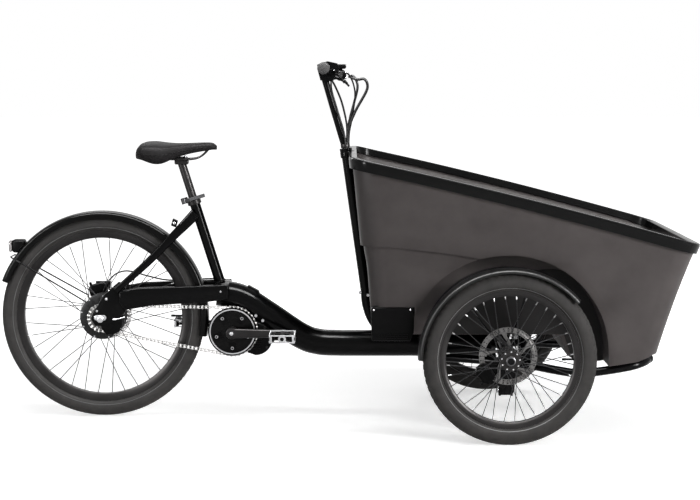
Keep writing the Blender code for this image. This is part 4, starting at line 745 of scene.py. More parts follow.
def make_finishes():
    """Every finish of the bike, made from the settings."""
    scene = bpy.context.scene
    wheels, box, body, seat = scene.bike_wheels, scene.bike_box, scene.bike_frame, scene.bike_seat
    finish("gloss_frame_paint", body.paint, body.gloss, grain=420, depth=0.00002, dust=0.015,
        dust_top=0.5, specular=0.06)
    finish("grained_shell", box.shell, 0.46, grain=1300, depth=0.00006, spread=0.18, dust=0.03,
        dust_top=0.4, specular=0.12)
    finish("gloss_trim", body.trim, 0.17, grain=500, depth=0.00001, dust=0.01, dust_top=0.4,
        specular=0.07)
    finish("satin_plastic", (0.0032, 0.0032, 0.0034), 0.34, grain=1100, depth=0.00005,
        dust=0.012, specular=0.04)
    finish("tyre_rubber", wheels.rubber, 0.74, grain=800, depth=0.00008, dust=0.06,
        dust_top=0.75, hide=420, specular=0.12)
    finish("sidewall_line", (0.16, 0.16, 0.16), 0.45, grain=700, specular=0.2)
    finish("hose_sheath", (0.006, 0.006, 0.0062), 0.38, grain=1200, depth=0.00003,
        specular=0.22)
    finish("black_anodised", wheels.rim, 0.34, metallic=0.6, scratches=0.1, dust=0.02,
        specular=0.16)
    finish("hub_casing", (0.013, 0.013, 0.0135), 0.36, metallic=0.3, depth=0.00003, dust=0.02,
        specular=0.16)
    finish("silver_paint", (0.4, 0.4, 0.41), 0.3, metallic=0.9, scratches=0.15)
    finish("lever_alloy", (0.055, 0.055, 0.057), 0.3, metallic=0.9, scratches=0.1)
    finish("turned_steel", (0.56, 0.55, 0.55), 0.27, metallic=1.0, centre=REAR_AXLE, depth=0.00002,
        scratches=0.15)
    finish("cog_steel", (0.075, 0.073, 0.072), 0.34, metallic=1.0, centre=REAR_AXLE, depth=0.00002)
    finish("front_disc_steel", (0.115, 0.112, 0.11), 0.34, metallic=1.0, centre=FRONT_AXLE,
        depth=0.00002, scratches=0.15)
    finish("bolt_steel", (0.42, 0.42, 0.43), 0.28, metallic=1.0, grain=1500, depth=0.00002,
        scratches=0.1)
    finish("spoke_steel", (0.022, 0.022, 0.023), 0.34, metallic=0.8, grain=1500, depth=0.00001)
    finish("oiled_links", (0.33, 0.325, 0.32), 0.34, metallic=1.0, grain=1500, depth=0.00003,
        dust=0.03)
    finish("saddle_cover", seat.cover, 0.58, grain=500, hide=650, spread=0.15, specular=0.06)
    # A dark finish that paints the shade inside the wheel wells.
    finish("well_liner", (0.017, 0.016, 0.016), 0.55, grain=1100, depth=0.00005, dust=0.02,
        specular=0.08)
    # A lighter copy of the trim colour for the front mudguards: its satin roughness is real, and its raised
    # tone is a painted sheen.
    finish("satin_guard", toned(body.trim, 1.6), 0.36, grain=700, depth=0.00001, dust=0.012,
        specular=0.18)
    finish("spoke_nipple", (0.2, 0.2, 0.2), 0.35, metallic=0.9, grain=1500, depth=0.00001)
    finish("front_rubber", toned(wheels.rubber, 0.74), 0.74, grain=800, depth=0.00008,
        dust=0.05, dust_top=0.75, hide=420, specular=0.1)
    finish("dark_bolt", (0.07, 0.07, 0.072), 0.3, metallic=0.9, grain=1500, depth=0.00002)
    finish("saddle_piping", toned(seat.cover, 0.55), 0.6, specular=0.05)
    finish("ribbed_grip", seat.grip, 0.72, grain=1100, depth=0.00006, specular=0.2)
    finish("clear_lens", (0.36, 0.34, 0.34), 0.12, grain=300, depth=0.00001, coat=0.6)
    finish("dark_screen", (0.006, 0.006, 0.007), 0.08, grain=60, depth=0.000002)


# Wheels

WHEELS = ("rear", "right", "left")
HALF_TYRE = 0.0235
REAR_HUB_R = 0.072
DISC_HALF = 0.001
DISC_CELLS = 36


class Wheel:
    """Where one wheel stands, its sizes and the names of its pieces."""

    def __init__(self, which):
        rear = which == "rear"
        first, last = ("rear_", "") if rear else ("front_", "_" + which)
        self.side = -1 if which == "right" else 1
        self.centre = REAR_AXLE if rear else FRONT_AXLE + Y_AXIS * self.side * HALF_TRACK
        self.radius = REAR_R if rear else FRONT_R
        self.flange, self.depth = FLANGE_R[first[:-1]], RIM_DEPTH[first[:-1]]
        self.body, self.tyre, self.rim = (first + key + last for key in ("wheel", "tyre", "rim"))
        self.rubber = "tyre_rubber" if rear else "front_rubber"


def mirrored(profile):
    """The other half of a profile that is the same on both sides."""
    return [(-y, r) for y, r in reversed(profile)]


def tyre_section(radius, flange):
    """The casing from bead to bead: a full sidewall, a tread with grooves and a hollow inside."""
    w, widest = HALF_TYRE, flange + (radius - flange) * 0.46
    turns = [math.pi / 2 * (1 - k / 14) for k in range(15)]
    right = [(w * math.cos(a) ** 0.92, widest + (radius - widest) * math.sin(a) ** 0.86) for a in turns]
    right += [(w * 0.995, widest - 0.004), (w * 0.93, flange + 0.0095), (0.0152, flange + 0.0045),
        (0.0125, flange + 0.001), (0.0112, flange - 0.006), (0.0085, flange - 0.006),
        (w * 0.8, flange + 0.012), (w * 0.86, widest), (w * 0.55, radius - 0.0075)]
    return right + [(0.0, radius - 0.0045)] + mirrored(right)[:-1]


def wall_side(rise, flange, radius):
    """How far out the sidewall is at a height above the rim's flange."""
    w = HALF_TYRE
    steps = [(0.0045, 0.0152), (0.0095, w * 0.93), ((radius - 0.0016 - flange) * 0.46 - 0.004, w * 0.995)]
    for (low, y0), (high, y1) in zip(steps, steps[1:]):
        if rise <= high:
            return y0 + (y1 - y0) * (rise - low) / (high - low)
    return steps[-1][1]


def tread_forms(radius, flange, step):
    """Three tread blocks on each side of the middle, for one step round the tyre."""
    forms = []
    for y0, y1, lead, share in ((0.0008, 0.0062, 0.0, 0.72), (0.0078, 0.0136, 0.35, 0.66),
            (0.015, 0.0195, 0.1, 0.5)):
        for way in WAYS:
            rings = []
            for lift, shrink, out in ((-0.0022, 0.0, 0.0002), (0.0, 0.1, 0)):
                rings.append([])
                for y, a in ((y0, -0.5), (y1, -0.5), (y1, 0.5), (y0, 0.5)):
                    turn = (a * (share - shrink) + lead + (y - y0) * way * 12) * step
                    drop = 1 - math.sqrt(max(0.0, 1 - (y / HALF_TYRE) ** 2.2))
                    r = radius - drop * (radius - flange) * 0.52 + lift
                    rings[-1].append(outward(turn) * r + Y_AXIS * way * (y + out))
            forms.append(loft(rings))
    return forms


def make_tyre(which):
    wheel = Wheel(which)
    radius, flange = wheel.radius, wheel.flange
    casing = lathe(tyre_section(radius - 0.0016, flange), wheel.centre, steps=120)
    piece(wheel.tyre + "_casing", [casing], wheel.rubber, wheel.body, [wheel.tyre], angle=50)
    blocks, line = bpy.context.scene.bike_wheels.tread_blocks, 0.01
    if which != "rear":
        blocks, line = int(blocks * FRONT_R / REAR_R), 0.0062
    tread = tread_forms(radius, flange, 2 * math.pi / blocks)
    round_about(wheel.tyre + "_tread", tread, blocks, wheel.centre, wheel.rubber, wheel.body)
    low, high = line, line + 0.0016
    y0, y1 = (wall_side(rise, flange, radius) for rise in (low, high))
    section = [(y0 - 0.0008, low), (y0 + 0.0005, low), (y1 + 0.0005, high), (y1 - 0.0008, high)]
    forms = [lathe([(way * y, flange + r) for y, r in section], wheel.centre, steps=120) for way in WAYS]
    piece(wheel.tyre + "_line", forms, "sidewall_line", wheel.body)


def make_rim(which):
    wheel, settings = Wheel(which), bpy.context.scene.bike_wheels
    centre, flange, depth, body, rim = wheel.centre, wheel.flange, wheel.depth, wheel.body, wheel.rim
    edge = [(0.0135, flange), (0.0135, flange - 0.0015), (0.0128, flange - 0.0085),
        (0.0105, flange - depth * 0.82), (0.0078, flange - depth)]
    lip = [(-0.0122, flange + 0.0004), (-0.0115, flange - 0.0005), (-0.0115, flange - 0.0085)]
    profile = edge + mirrored(edge) + lip + mirrored(lip)
    piece(rim + "_hoop", [lathe(profile, centre, steps=120)], "black_anodised", body, [rim], angle=40)
    hub_r, flange_y, lean = (REAR_HUB_R, 0.0268, 22) if which == "rear" else (0.031, 0.0253, 62)
    inner_rim = flange - depth
    rods, nipples, heads = [], [], []
    for i, (way_y, way) in enumerate(((-1, -1), (1, -1), (-1, 1), (1, 1))):
        outer = 2 * math.pi / settings.spoke_count * (i + 0.5)
        inner = outer + way * math.radians(lean)
        start = outward(inner) * (hub_r - 0.004) + Y_AXIS * way_y * (flange_y + way * 0.0014)
        end = outward(outer) * (inner_rim + 0.002) + Y_AXIS * way_y * 0.0025
        rods.append(tube([start, end], settings.spoke_width / 2, 6))
        along, head = (end - start).normalized(), Y_AXIS * way * way_y * 0.0016
        foot = end - along * 0.002
        nipples.append(rod(foot - along * 0.011, foot + along * 0.001, 0.0018, 8, 0.0006))
        heads.append(rod(start - head, start + head, 0.0024, 8))
    for key, forms, look in (("_spokes", rods, "spoke_steel"), ("_nipples", nipples, "spoke_nipple"),
            ("_spoke_heads", heads, "bolt_steel")):
        round_about(rim + key, forms, settings.spoke_count // 4, centre, look, body)
    stem = centre + X_AXIS * (inner_rim - 0.03)
    forms = [rod(stem, centre + X_AXIS * (inner_rim + 0.002), 0.0032, 12, 0.0006),
        rod(stem - X_AXIS * 0.006, stem + X_AXIS * 0.006, 0.0038, 12, 0.001)]
    piece(rim + "_valve", forms, "satin_plastic", body)


def make_hub(which):
    wheel = Wheel(which)
    centre, body, side = wheel.centre, wheel.body, wheel.side
    if which == "rear":
        profile = mm((-34, 6.6), (-34, 22), (-31.5, 26), (-31, 50), (-29.6, 68), (-28.5, 72), (-24.5, 72),
            (-22, 64.5), (-14, 62), (14, 62), (22, 64.5), (24.5, 72), (28.5, 72), (29.6, 68), (31, 45),
            (33.5, 30), (40.5, 27), (44.5, 26), (44.5, 6.6))
        piece("rear_hub_shell", [lathe(profile, centre, steps=96)], "hub_casing", body, angle=28)
        edge = ((0.03, -0.012), (0.064, -0.008), (0.064, 0.008), (0.03, 0.012))
        ribs = loft([[outward(a) * r + Y_AXIS * y for r, a in edge] for y in (-0.0335, -0.03)])
        round_about("rear_hub_ribs", [ribs], 18, centre, "hub_casing", body)
        screw = bolt(Vector((0.022, 0.0472, 0)), Y_AXIS, 0.0035, 0.0018)
        round_about("rear_disc_screws", [screw], 6, centre, "bolt_steel", body)
        return
    profile = mm((-50.7, 7.8), (-50.7, 23), (-46, 23.6), (-34, 19), (-28.5, 20), (-28, 31), (-22.8, 31),
        (-20.5, 18.5), (-12, 16.5), (12, 16.5), (20.5, 18.5), (22.8, 31), (28, 31), (28.8, 15.5),
        (32.5, 14.5), (33.8, 12.5), (33.8, 7.8))
    shell = lathe([(side * y, r) for y, r in profile], centre, steps=64)
    piece("front_hub_" + which, [shell], "black_anodised", body, angle=28)
    screw = bolt(Vector((0.019, -side * 0.0532, 0)), Y_AXIS * -side, 0.0033, 0.0016)
    round_about("front_disc_screws_" + which, [screw], 6, centre, "dark_bolt", body)


def drilled_cell(r0, r1, hole):
    """One cell of a drilled ring: a bent plate with a round hole, made from quads."""
    mid, span, n = (r0 + r1) / 2, 2 * math.pi / DISC_CELLS, 8
    corners = ((r0, -0.5), (r0, 0.0), (r0, 0.5), (mid, 0.5), (r1, 0.5), (r1, 0.0), (r1, -0.5), (mid, -0.5))
    edge = [(r * math.cos(span * k), r * math.sin(span * k)) for r, k in corners]
    sizes = [math.hypot(x - mid, z) for x, z in edge]
    ring = [(mid + (x - mid) / size * hole, z / size * hole) for (x, z), size in zip(edge, sizes)]
    points = [Vector((x, y, z)) for y in (-DISC_HALF, DISC_HALF) for x, z in edge + ring]
    faces = []
    for i in range(n):
        k = (i + 1) % n
        faces += [(i, k, n + k, n + i), (2 * n + i, 3 * n + i, 3 * n + k, 2 * n + k),
            (n + i, n + k, 3 * n + k, 3 * n + i)]
        if i % 4 < 2:  # the ring's inner and outer edge; the cell's other two sides meet the next cells
            faces.append((i, 2 * n + i, 2 * n + k, k))
    return points, faces


def make_disc(name, node, centre, radius, body, look):
    """A drilled brake disc on a five-armed carrier."""
    t = DISC_HALF
    forms = [drilled_cell(radius - 0.0085, radius, 0.0023), drilled_cell(radius - 0.0165, radius - 0.0085,
        0.002)]
    round_about(name + "_ring", forms, DISC_CELLS, centre, look, body, [node])
    arm = []
    for r, a, half in ((0.027, 0.1, 0.0052), (0.045, 0.3, 0.0052), (radius - 0.028, 0.47, 0.0052),
            (radius - 0.0163, 0.5, 0.008)):
        out, side = outward(a), outward(a + math.pi / 2)
        arm.append([out * r + side * half * s + Y_AXIS * y for s, y in ((-1, -t), (1, -t), (1, t), (-1, t))])
    round_about(name + "_arms", [loft(arm)], 5, centre, look, body)
    face = t * 1.3
    carrier = lathe([(-face, 0.015), (-face, 0.03), (face, 0.03), (face, 0.015)], centre, steps=48)
    piece(name + "_carrier", [carrier], look, body)


def make_tyres():
    for which in WHEELS:
        make_tyre(which)


def make_wheels():
    for which in WHEELS:
        make_rim(which)
        make_hub(which)


def make_discs():
    make_disc("disc_rear", "rear_rotor", REAR_AXLE + Y_AXIS * 0.046, REAR_DISC_R, "rear_wheel",
        "turned_steel")
    for side, name in SIDES:
        centre = FRONT_AXLE + Y_AXIS * side * (HALF_TRACK - 0.052)
        make_disc("disc_" + name, "front_rotor_" + name, centre, FRONT_DISC_R, "front_wheel_" + name,
            "front_disc_steel")


# Frame tubes


def weld(name, centre, axis, up, radius, count):
    """A rippled weld bead round a joint, laid along its ring."""
    level = (up - axis * up.dot(axis)).normalized()
    side = axis.cross(level)
    path = [centre + level * a + side * b for a, b in circle(radius, 64)]
    lump = [bead(Vector(), 0.0026, (1, 1, 0.75), 4, 8)]
    along_path(name, path, (lump, lump), count, "gloss_frame_paint")


def make_main_tubes():
    beam = smooth_path([at(a, 0, z) for a, z in BEAM_ROUTE], 10) + [at(1.0, 0, BEAM_Z),
        at(WHEELBASE - 0.0355, 0, BEAM_Z)]
    column = [STEER_TOP - STEER_UP * 0.001] + smooth_path(COLUMN_FOOT, 8)
    head = mm((-31, 16), (-30, 19.5), (-28, 20), (-12, 19.8), (-11, 19), (-10, 19), (-9, 19.8), (-1.5, 20),
        (0, 18.8), (0, 12.5))
    forms = [tube(beam, BEAM_R, 40), tube(column, COLUMN_R, 28), rod(SEAT_LOW, SEAT_TOP, 0.017, 28),
        round_slab(at(0.366, -0.058, 0.39), at(0.41, 0.058, 0.438), 0.01),
        lathe(head, STEER_TOP, STEER_UP, 40), prism(mm((320, 404.5), (320, 415.5), (372, 416), (372, 404)),
        -0.0115, 0.0115)]
    painted("frame_tubes", forms, ["main_frame"], angle=40)
    gusset = prism(mm((462, 400), (468, 427.5), (503, 408), (510, 380)), -0.0128, 0.0128)
    bearer = slab(at(1.01, -0.2, 0.2715), at(1.05, 0.2, 0.3045))
    painted("frame_brackets", [gusset, bearer], bevel=0.002)
    weld("weld_seat_tube", SEAT_LOW + SEAT_UP * 0.026, SEAT_UP, X_AXIS, 0.0178, 44)
    weld("weld_column_foot", at(0.8905, 0, 0.2805), (COLUMN_FOOT[-1] - COLUMN_FOOT[-2]).normalized(), Z_AXIS,
        0.0185, 40)
    fixings = mm((828.5, -16.5, 404, 3.5), (854.5, -16.5, 396, 3.5), (494.5, -40.8, 333, 4),
        (516.5, -40.8, 317, 4))
    bolted("frame_bolts", [bolt(at(a, s, z), -Y_AXIS, 0.005, high) for a, s, z, high in fixings])


def make_hub_cover():
    """The cover over the right end of the hub, and the cable link that leads into it."""
    cover = mm((-6, 318), (4, 290), (16, 276), (36, 273), (56, 283), (68, 304), (72, 345), (20, 345))
    piece("hub_cover", [prism(cover, -0.0622, -0.059)], "satin_plastic", "frame", bevel=0.0012)
    arm = [at(0.04, -0.0705, REAR_R - 0.001), at(0.058, -0.0705, REAR_R + 0.001),
        at(0.078, -0.07, REAR_R + 0.0065)]
    piece("hub_link", [tube(smooth_path(arm, 5), 0.0021, 12, Z_AXIS), rod(arm[0], arm[0] + X_AXIS * 0.01,
        0.0034, 12, 0.0006)], "silver_paint", "frame")


def make_rear_stays():
    for side, name in SIDES:
        stay = prism(mm((60, 380), (60, 415.5), (122.5, 427), (330, 434.5), (410, 438), (410, 390),
            (337.5, 381), (166.5, 370), (77.5, 355)), side * 0.058, side * 0.076)
        painted("chain_stay_" + name, [stay], ["rear_frame_" + name], bevel=0.005, segments=3, angle=50)
        rows = mm((302, 19, 659), (268, 36, 624), (236, 47, 592), (150, 57, 505), (50, 67, 416))
        route = smooth_path([at(a, side * s, z) for a, s, z in rows], 8)
        form = sweep(route, rounded(0.016, 0.036, 0.0075, 5), Vector((0.7, 0, -0.7)),
            lambda t: (1, 1 - 0.45 * t))
        painted("seat_stay_" + name, [form], angle=40)
        outline = mm((75, 420), (82, 352), (60, 330), (35, 312), (8, 304), (-18, 304), (-30, 326), (-26, 342),
            (-16, 358), (10, 402), (40, 428))
        forms = [prism(outline, side * 0.0695, side * 0.0625)]
        if side > 0:
            forms.append(slab(at(-0.034, 0.0613, 0.388), at(0.014, 0.0685, 0.431)))
        painted("dropout_" + name, forms, bevel=0.0016)
        pill = []
        for way, turn in ((1, -90), (-1, 90)):
            turns = [math.radians(turn + 180 * k / 8) for k in range(9)]
            pill += [(way * 0.0105 + 0.0088 * math.cos(a), REAR_R + 0.004 + 0.0088 * math.sin(a))
                for a in turns]
        piece("axle_plate_" + name, [prism(pill, side * 0.0696, side * 0.0722)], "silver_paint", "frame",
            bevel=0.0006)
        screws = [bolt(at(0.062, 0.0762, 0.398), Y_AXIS, 0.0045, 0.003)]
        if side < 0:
            make_hub_cover()
            screws = [bolt(at(a, s, z), -Y_AXIS, r, high) for a, s, z, r, high
                in mm((-10.5, -69.7, 352, 3.8, 3), (-12.5, -58.5, 298.5, 3.4, 3), (20, -69.7, 391, 4.4, 3),
                (385, -76.2, 415.5, 3.2, 2))]
        bolted("stay_bolts_" + name, screws)
    clamp = prism(mm((227.5, 625), (234, 647.5), (249.5, 640), (243, 619)), -0.061, -0.042)
    piece("cable_clip", [clamp], "satin_plastic", "frame", bevel=0.002)
    bolted("cable_clip_screw", [bolt(at(0.2385, -0.0612, 0.633), -Y_AXIS, 0.0042, 0.002)])
    line = places((4, 46, 424), (16, 49, 440), (40, 53, 459), (77, 56, 464.5), (140, 57.5, 447.5),
        (205, 60, 434.5), (300, 62, 437.5), (385, 60, 441.5))
    hose("rear_brake_hose", [tube(smooth_path(line, 8), HOSE_R, 12, Z_AXIS)], "frame")


def make_front_hoop():
    right = places((1020, -30, 200), (1200, -112, 203), (1345, -198, 203), (1430, -236, 194),
        (1487, -254, 188), (1530, -264, 190), (1640, -270, 208), (1690, -256, 218), (1718, -222, 223.5),
        (1728, -172, 226))
    hoop = tube(smooth_path(right + flipped(right), 6), 0.0135, 20, Z_AXIS)
    painted("hoop_tube", [hoop], ["front_hoop"], angle=40)
    x, pin = WHEELBASE, 0.0353
    forms = [rod(at(x + 0.043, -0.176, 0.2035), at(x + 0.043, 0.176, 0.2035), 0.011, 20)]
    for a in (x - 0.0275, x + 0.0275):
        forms.append(slab(at(a - 0.0075, -0.028, 0.122), at(a + 0.0075, 0.028, 0.274)))
    forms += [rod(at(x - pin, 0, z), at(x + pin, 0, z), 0.01, 20) for _, z in LINK_HEIGHTS]
    forms.append(slab(at(x + 0.066, -0.19, 0.205), at(x + 0.088, 0.19, 0.3047)))
    painted("tilt_bracket", forms, bevel=0.0018)
    bolted("tilt_bolts", [bolt(at(x + way * pin, 0, z), X_AXIS * way, 0.0085, 0.005)
        for _, z in LINK_HEIGHTS for way in WAYS])


# Cargo box

# The rim's and the base's rear, front and half width, and the rim's heights
REAR_RIM = (0.803, 0.853)
FRONT_RIM = (1.838, 0.595)
MIDDLE_RIM_Z = 0.733
REAR_BASE = 0.866
FRONT_BASE = 1.717
HALF_RIM = 0.402
HALF_BASE = 0.34
BOX_BASE = 0.202
BOX_FLOOR = 0.305
FAR = 0.6
CREASE = ((0.7, 0.591), (0.85, 0.591), (0.914, 0.591), (0.96, 0.5865), (1.02, 0.5795), (1.1, 0.569),
    (1.18, 0.5565), (1.235, 0.548))


def rim_height(ahead):
    """The rim line seen from the side: a shallow crown that falls to the front."""
    (rear, high), (front, low) = REAR_RIM, FRONT_RIM
    t = (ahead - rear) / (front - rear)
    bulge = MIDDLE_RIM_Z - (high + low) / 2
    return high + (low - high) * t + 4 * bulge * t * (1 - t)


def plan_ring(level, inset, corner=10, span_points=9):
    """The box's outline at a level from 0, its base, to 1, its rim, drawn in by inset."""
    rear = REAR_BASE + (REAR_RIM[0] - REAR_BASE) * level + inset
    front = FRONT_BASE + (FRONT_RIM[0] - FRONT_BASE) * level - inset
    half = HALF_BASE + (HALF_RIM - HALF_BASE) * level * level - inset
    radius = 0.055 + 0.015 * level - inset
    outline = []
    for quarter, (sx, sy) in enumerate(((1, 1), (-1, 1), (-1, -1), (1, -1))):
        cx, cy = (front if sx > 0 else rear) - sx * radius, sy * (half - radius)
        for i in range(corner):
            a = math.pi / 2 * (quarter + i / (corner - 1))
            outline.append((cx + radius * math.cos(a), cy + radius * math.sin(a)))
        if quarter in (0, 2):
            step = ((front - rear) - 2 * radius) / (span_points + 1)
            start = outline[-1][0]
            outline += [(start - sx * step * k, sy * half) for k in range(1, span_points + 1)]
    return [at(a, s, BOX_BASE + (rim_height(a) - BOX_BASE) * level) for a, s in outline]


def strip_capped(rings):
    """A skin over mirror-symmetric rings, closed at both ends by strips from side to side."""
    points, faces = loft(rings, caps=False)
    n = len(rings[0])
    for start, flip in ((0, False), ((len(rings) - 1) * n, True)):
        for i in range(n // 2 - 1):
            quad = (start + i, start + i + 1, start + n - 2 - i, start + n - 1 - i)
            faces.append(tuple(reversed(quad)) if flip else quad)
    return points, faces


def underside(lift):
    """What lies below the floor and the footwell."""
    base, step = 0.222, 1.452
    outline = [(0.5, 0.0), (0.5, BOX_FLOOR + lift), (step - 0.022 + lift, BOX_FLOOR + lift),
        (step - 0.008 + lift, BOX_FLOOR - 0.006 + lift * 0.8), (step + lift, BOX_FLOOR - 0.018 + lift / 2),
        (step + 0.01 + lift, 0.252 + lift / 2), (step + 0.016 + lift, 0.24 + lift / 2),
        (step + 0.028 + lift, base + 0.01 + lift), (1.5225, base + 0.003 + lift), (1.5665, base + lift),
        (1.6665, base + 0.016 + lift), (1.716, base + 0.036 + lift), (1.95, base + 0.06 + lift), (1.95, 0.0)]
    return prism(outline, -FAR, FAR)


def wheel_well(side, grow):
    """The space in which a front wheel moves."""
    radius = ARCH_R + grow
    turns = [math.radians(a) for a in range(0, 181, 4)]
    outline = [(WHEELBASE + radius * math.cos(a), FRONT_R + radius * math.sin(a)) for a in turns]
    outline += [(WHEELBASE - radius, 0.1), (WHEELBASE + radius + 0.006, 0.1)]
    return prism(outline, side * (WELL_Y - grow), side * FAR)


def recess_form(grow):
    """What lies below the crease, seen from the side, out to both sides."""
    outline = [(0.7, 0.1)] + [(a, z + grow) for a, z in CREASE] + [(CREASE[-1][0], 0.1)]
    return prism(outline, -FAR, FAR)


def recess_core(grow):
    """How far the sides and the back stand in below the crease, with a soft cove under the ledge."""
    levels = ((0.0, 0.01), (0.3, 0.012), (0.45, 0.014), (0.52, 0.0135), (0.58, 0.01), (0.72, 0.01),
        (1.0, 0.014))
    return strip_capped([plan_ring(level, inset + grow) for level, inset in levels])


def column_groove(grow):
    """The way that the steering column takes through the box's back."""
    size = COLUMN_R + 0.0045 + grow
    path = [STEER_TOP + STEER_UP * 0.1, STEER_TOP, *COLUMN_FOOT]
    return sweep(path, rounded(2 * size, 2 * size, size * 0.6, 5), Y_AXIS)


def cover_bay(side, grow):
    """The pocket behind a service cover."""
    high, front = 0.405 + grow, 0.992 + grow
    return prism([(0.7, 0.15), (0.7, high), (front, high), (front, 0.15)], side * (0.3047 - grow), side * FAR)


def battery_bay(grow):
    return slab(at(0.8733 - grow, -FAR, 0.3173 - grow), at(0.9807 + grow, -0.138 + grow, 0.3967 + grow))


def make_box_shell():
    """The tub: an outer and an inner skin with the same spaces cut out, the inner taken from the outer."""
    wall = bpy.context.scene.bike_box.wall
    levels = (0, 0.2, 0.4, 0.55, 0.7, 0.85, 1.0)
    skins = []
    for grow, lift, heights in ((0.0, 0.0, levels), (wall, wall + 0.001, (*levels, 1.06))):
        made = cleaned(raw_object("box_skin", [strip_capped([plan_ring(v, grow) for v in heights])]))
        tools = [underside(lift), column_groove(grow), battery_bay(grow)]
        for side in WAYS:
            tools += [wheel_well(side, grow), cover_bay(side, grow)]
        made = cut(made, [cutter(tool) for tool in tools])
        below = cut(cutter(recess_form(grow)), [cutter(recess_core(grow))])
        skins.append(cut(made, [below]))
    shell = cut(skins[0], skins[1:])
    shell.name = "box_shell"
    cleaned(shell, bevel=0.0022, angle=38, merge=0.00005)
    dressed(shell, "grained_shell", "frame", ["box_tub"])


def make_well_liners():
    """A dark sheet of painted shade on the inner face of each wheel well, above the floor and the footwell's
    side.
    """
    radius, low, deep, behind = ARCH_R - 0.0012, 0.3062, 0.2245, FRONT_R - 0.004
    outline = []
    for k in range(41):
        a = (math.pi - math.asin((low - FRONT_R) / behind)) * (1 - k / 40)
        share = min(1.0, max(0.0, (math.radians(75) - a) / math.radians(25)))
        r = behind + (radius - behind) * share * share * (3 - 2 * share)
        outline.append((WHEELBASE + r * math.cos(a), FRONT_R + r * math.sin(a)))
    outline += [(WHEELBASE + radius, deep), (1.485, deep), (1.4565, low)]
    for side, name in SIDES:
        skin = prism(outline, side * (WELL_Y + 0.0003), side * (WELL_Y + 0.0012))
        # Each sheet is painted shade, darker than the box's own shell.
        piece("well_liner_" + name, [skin], "well_liner", "frame")


def make_box_cap():
    """The capping straddles the wall's top edge: a rounded outer face and a light upper edge."""
    box = bpy.context.scene.bike_box
    height, inner, face = box.cap_height, 0.01 + box.wall, box.wall + 0.0012
    outer, lower = plan_ring(1.0, 0.0), plan_ring(0.5, 0.0)
    centre = sum(outer, Vector()) / len(outer)
    section = [(-0.0098, 0.003 - height), (-0.01, -0.004), (-0.0092, 0.002), (-0.006, 0.0052),
        (-0.001, 0.006), (inner - 0.004, 0.006), (inner - 0.0008, 0.0042), (inner, 0.0005),
        (inner, -height * 0.55), (face, -height * 0.58), (face, 0.0012), (-0.0008, 0.0012),
        (-0.0008, 0.0068 - height), (-0.005, 0.0062 - height), (-0.0085, 0.005 - height)]
    rings = []
    for i, point in enumerate(outer):
        down = (lower[i] - point) / (point.z - lower[i].z)
        along = (outer[(i + 1) % len(outer)] - outer[i - 1]).normalized()
        inward = Vector((-along.y, along.x, 0)).normalized()
        if inward.dot(centre - point) < 0:
            inward = -inward
        rings.append([point + inward * a + (Z_AXIS * b if b > 0 else down * -b) for a, b in section])
    cap = cleaned(raw_object("box_cap", [loft(rings, closed=True)]))
    cap = cut(cap, [cutter(column_groove(box.wall + 0.0003))])
    dressed(cleaned(cap, angle=40), "gloss_trim", "frame", ["box_rim"])


def make_covers():
    outline = mm((862.5, 301), (860, 384), (860, 399), (865, 404), (976, 404), (986, 400), (990, 390),
        (990, 327), (978, 301))
    for side, name in SIDES:
        cover, face = prism(outline, side * 0.333, side * 0.3053), side * 0.3334
        piece("service_panel_" + name, [cover], "satin_plastic", "frame", ["service_cover_" + name],
            bevel=0.003, segments=3, angle=40)
        ribs = [slab(at(0.88, face - 0.0006, 0.308), at(0.972, face + 0.0006, 0.3095))]
        in_row("service_ribs_" + name, ribs, 3, (0, 0, 0), (0, 0, 0.006), "satin_plastic", "frame")
        screws = [bolt(at(a, side * 0.3332, 0.396), Y_AXIS * side, 0.0024, 0.0012) for a in (0.868, 0.979)]
        bolted("service_screws_" + name, screws)
    pack = slab(at(0.874, -0.303, 0.318), at(0.98, -0.14, 0.396))
    piece("battery_case", [pack], "satin_plastic", "frame", ["battery_pack"], bevel=0.006, segments=3)


# Mudguards and lamp

REAR_GUARD_R = REAR_R + 0.015
FRONT_GUARD_R = FRONT_R + 0.0145


def guard_rings(centre, radius, half, skirt, start, end, steps, flare=0.0, thick=0.002):
    """Rings of a mudguard's section: a crowned top that turns down into side skirts."""
    crown = min(0.011, skirt * 0.75)
    turns = [math.pi * k / 12 for k in range(13)]
    outline = [(half * math.cos(a), -crown * (1 - math.sin(a) ** 0.75)) for a in turns]
    if skirt > crown + 0.002:
        outline = [(half, -skirt), *outline, (-half, -skirt)]
    outline += [(y * (1 - thick / half), r - thick * (0.35 + 0.65 * (1 - abs(y) / half)))
        for y, r in reversed(outline)]
    rings = []
    for i in range(steps + 1):
        t = i / steps
        out = outward(math.radians(start + (end - start) * t))
        late = max(0.0, (t - 0.88) / 0.12)
        edge = min(1.0, min(t, 1 - t) * steps * 0.5 + 0.55)
        rings.append([centre + out * (radius + r + flare * late) + Y_AXIS * y * (0.9 + 0.1 * edge)
            for y, r in outline])
    return rings


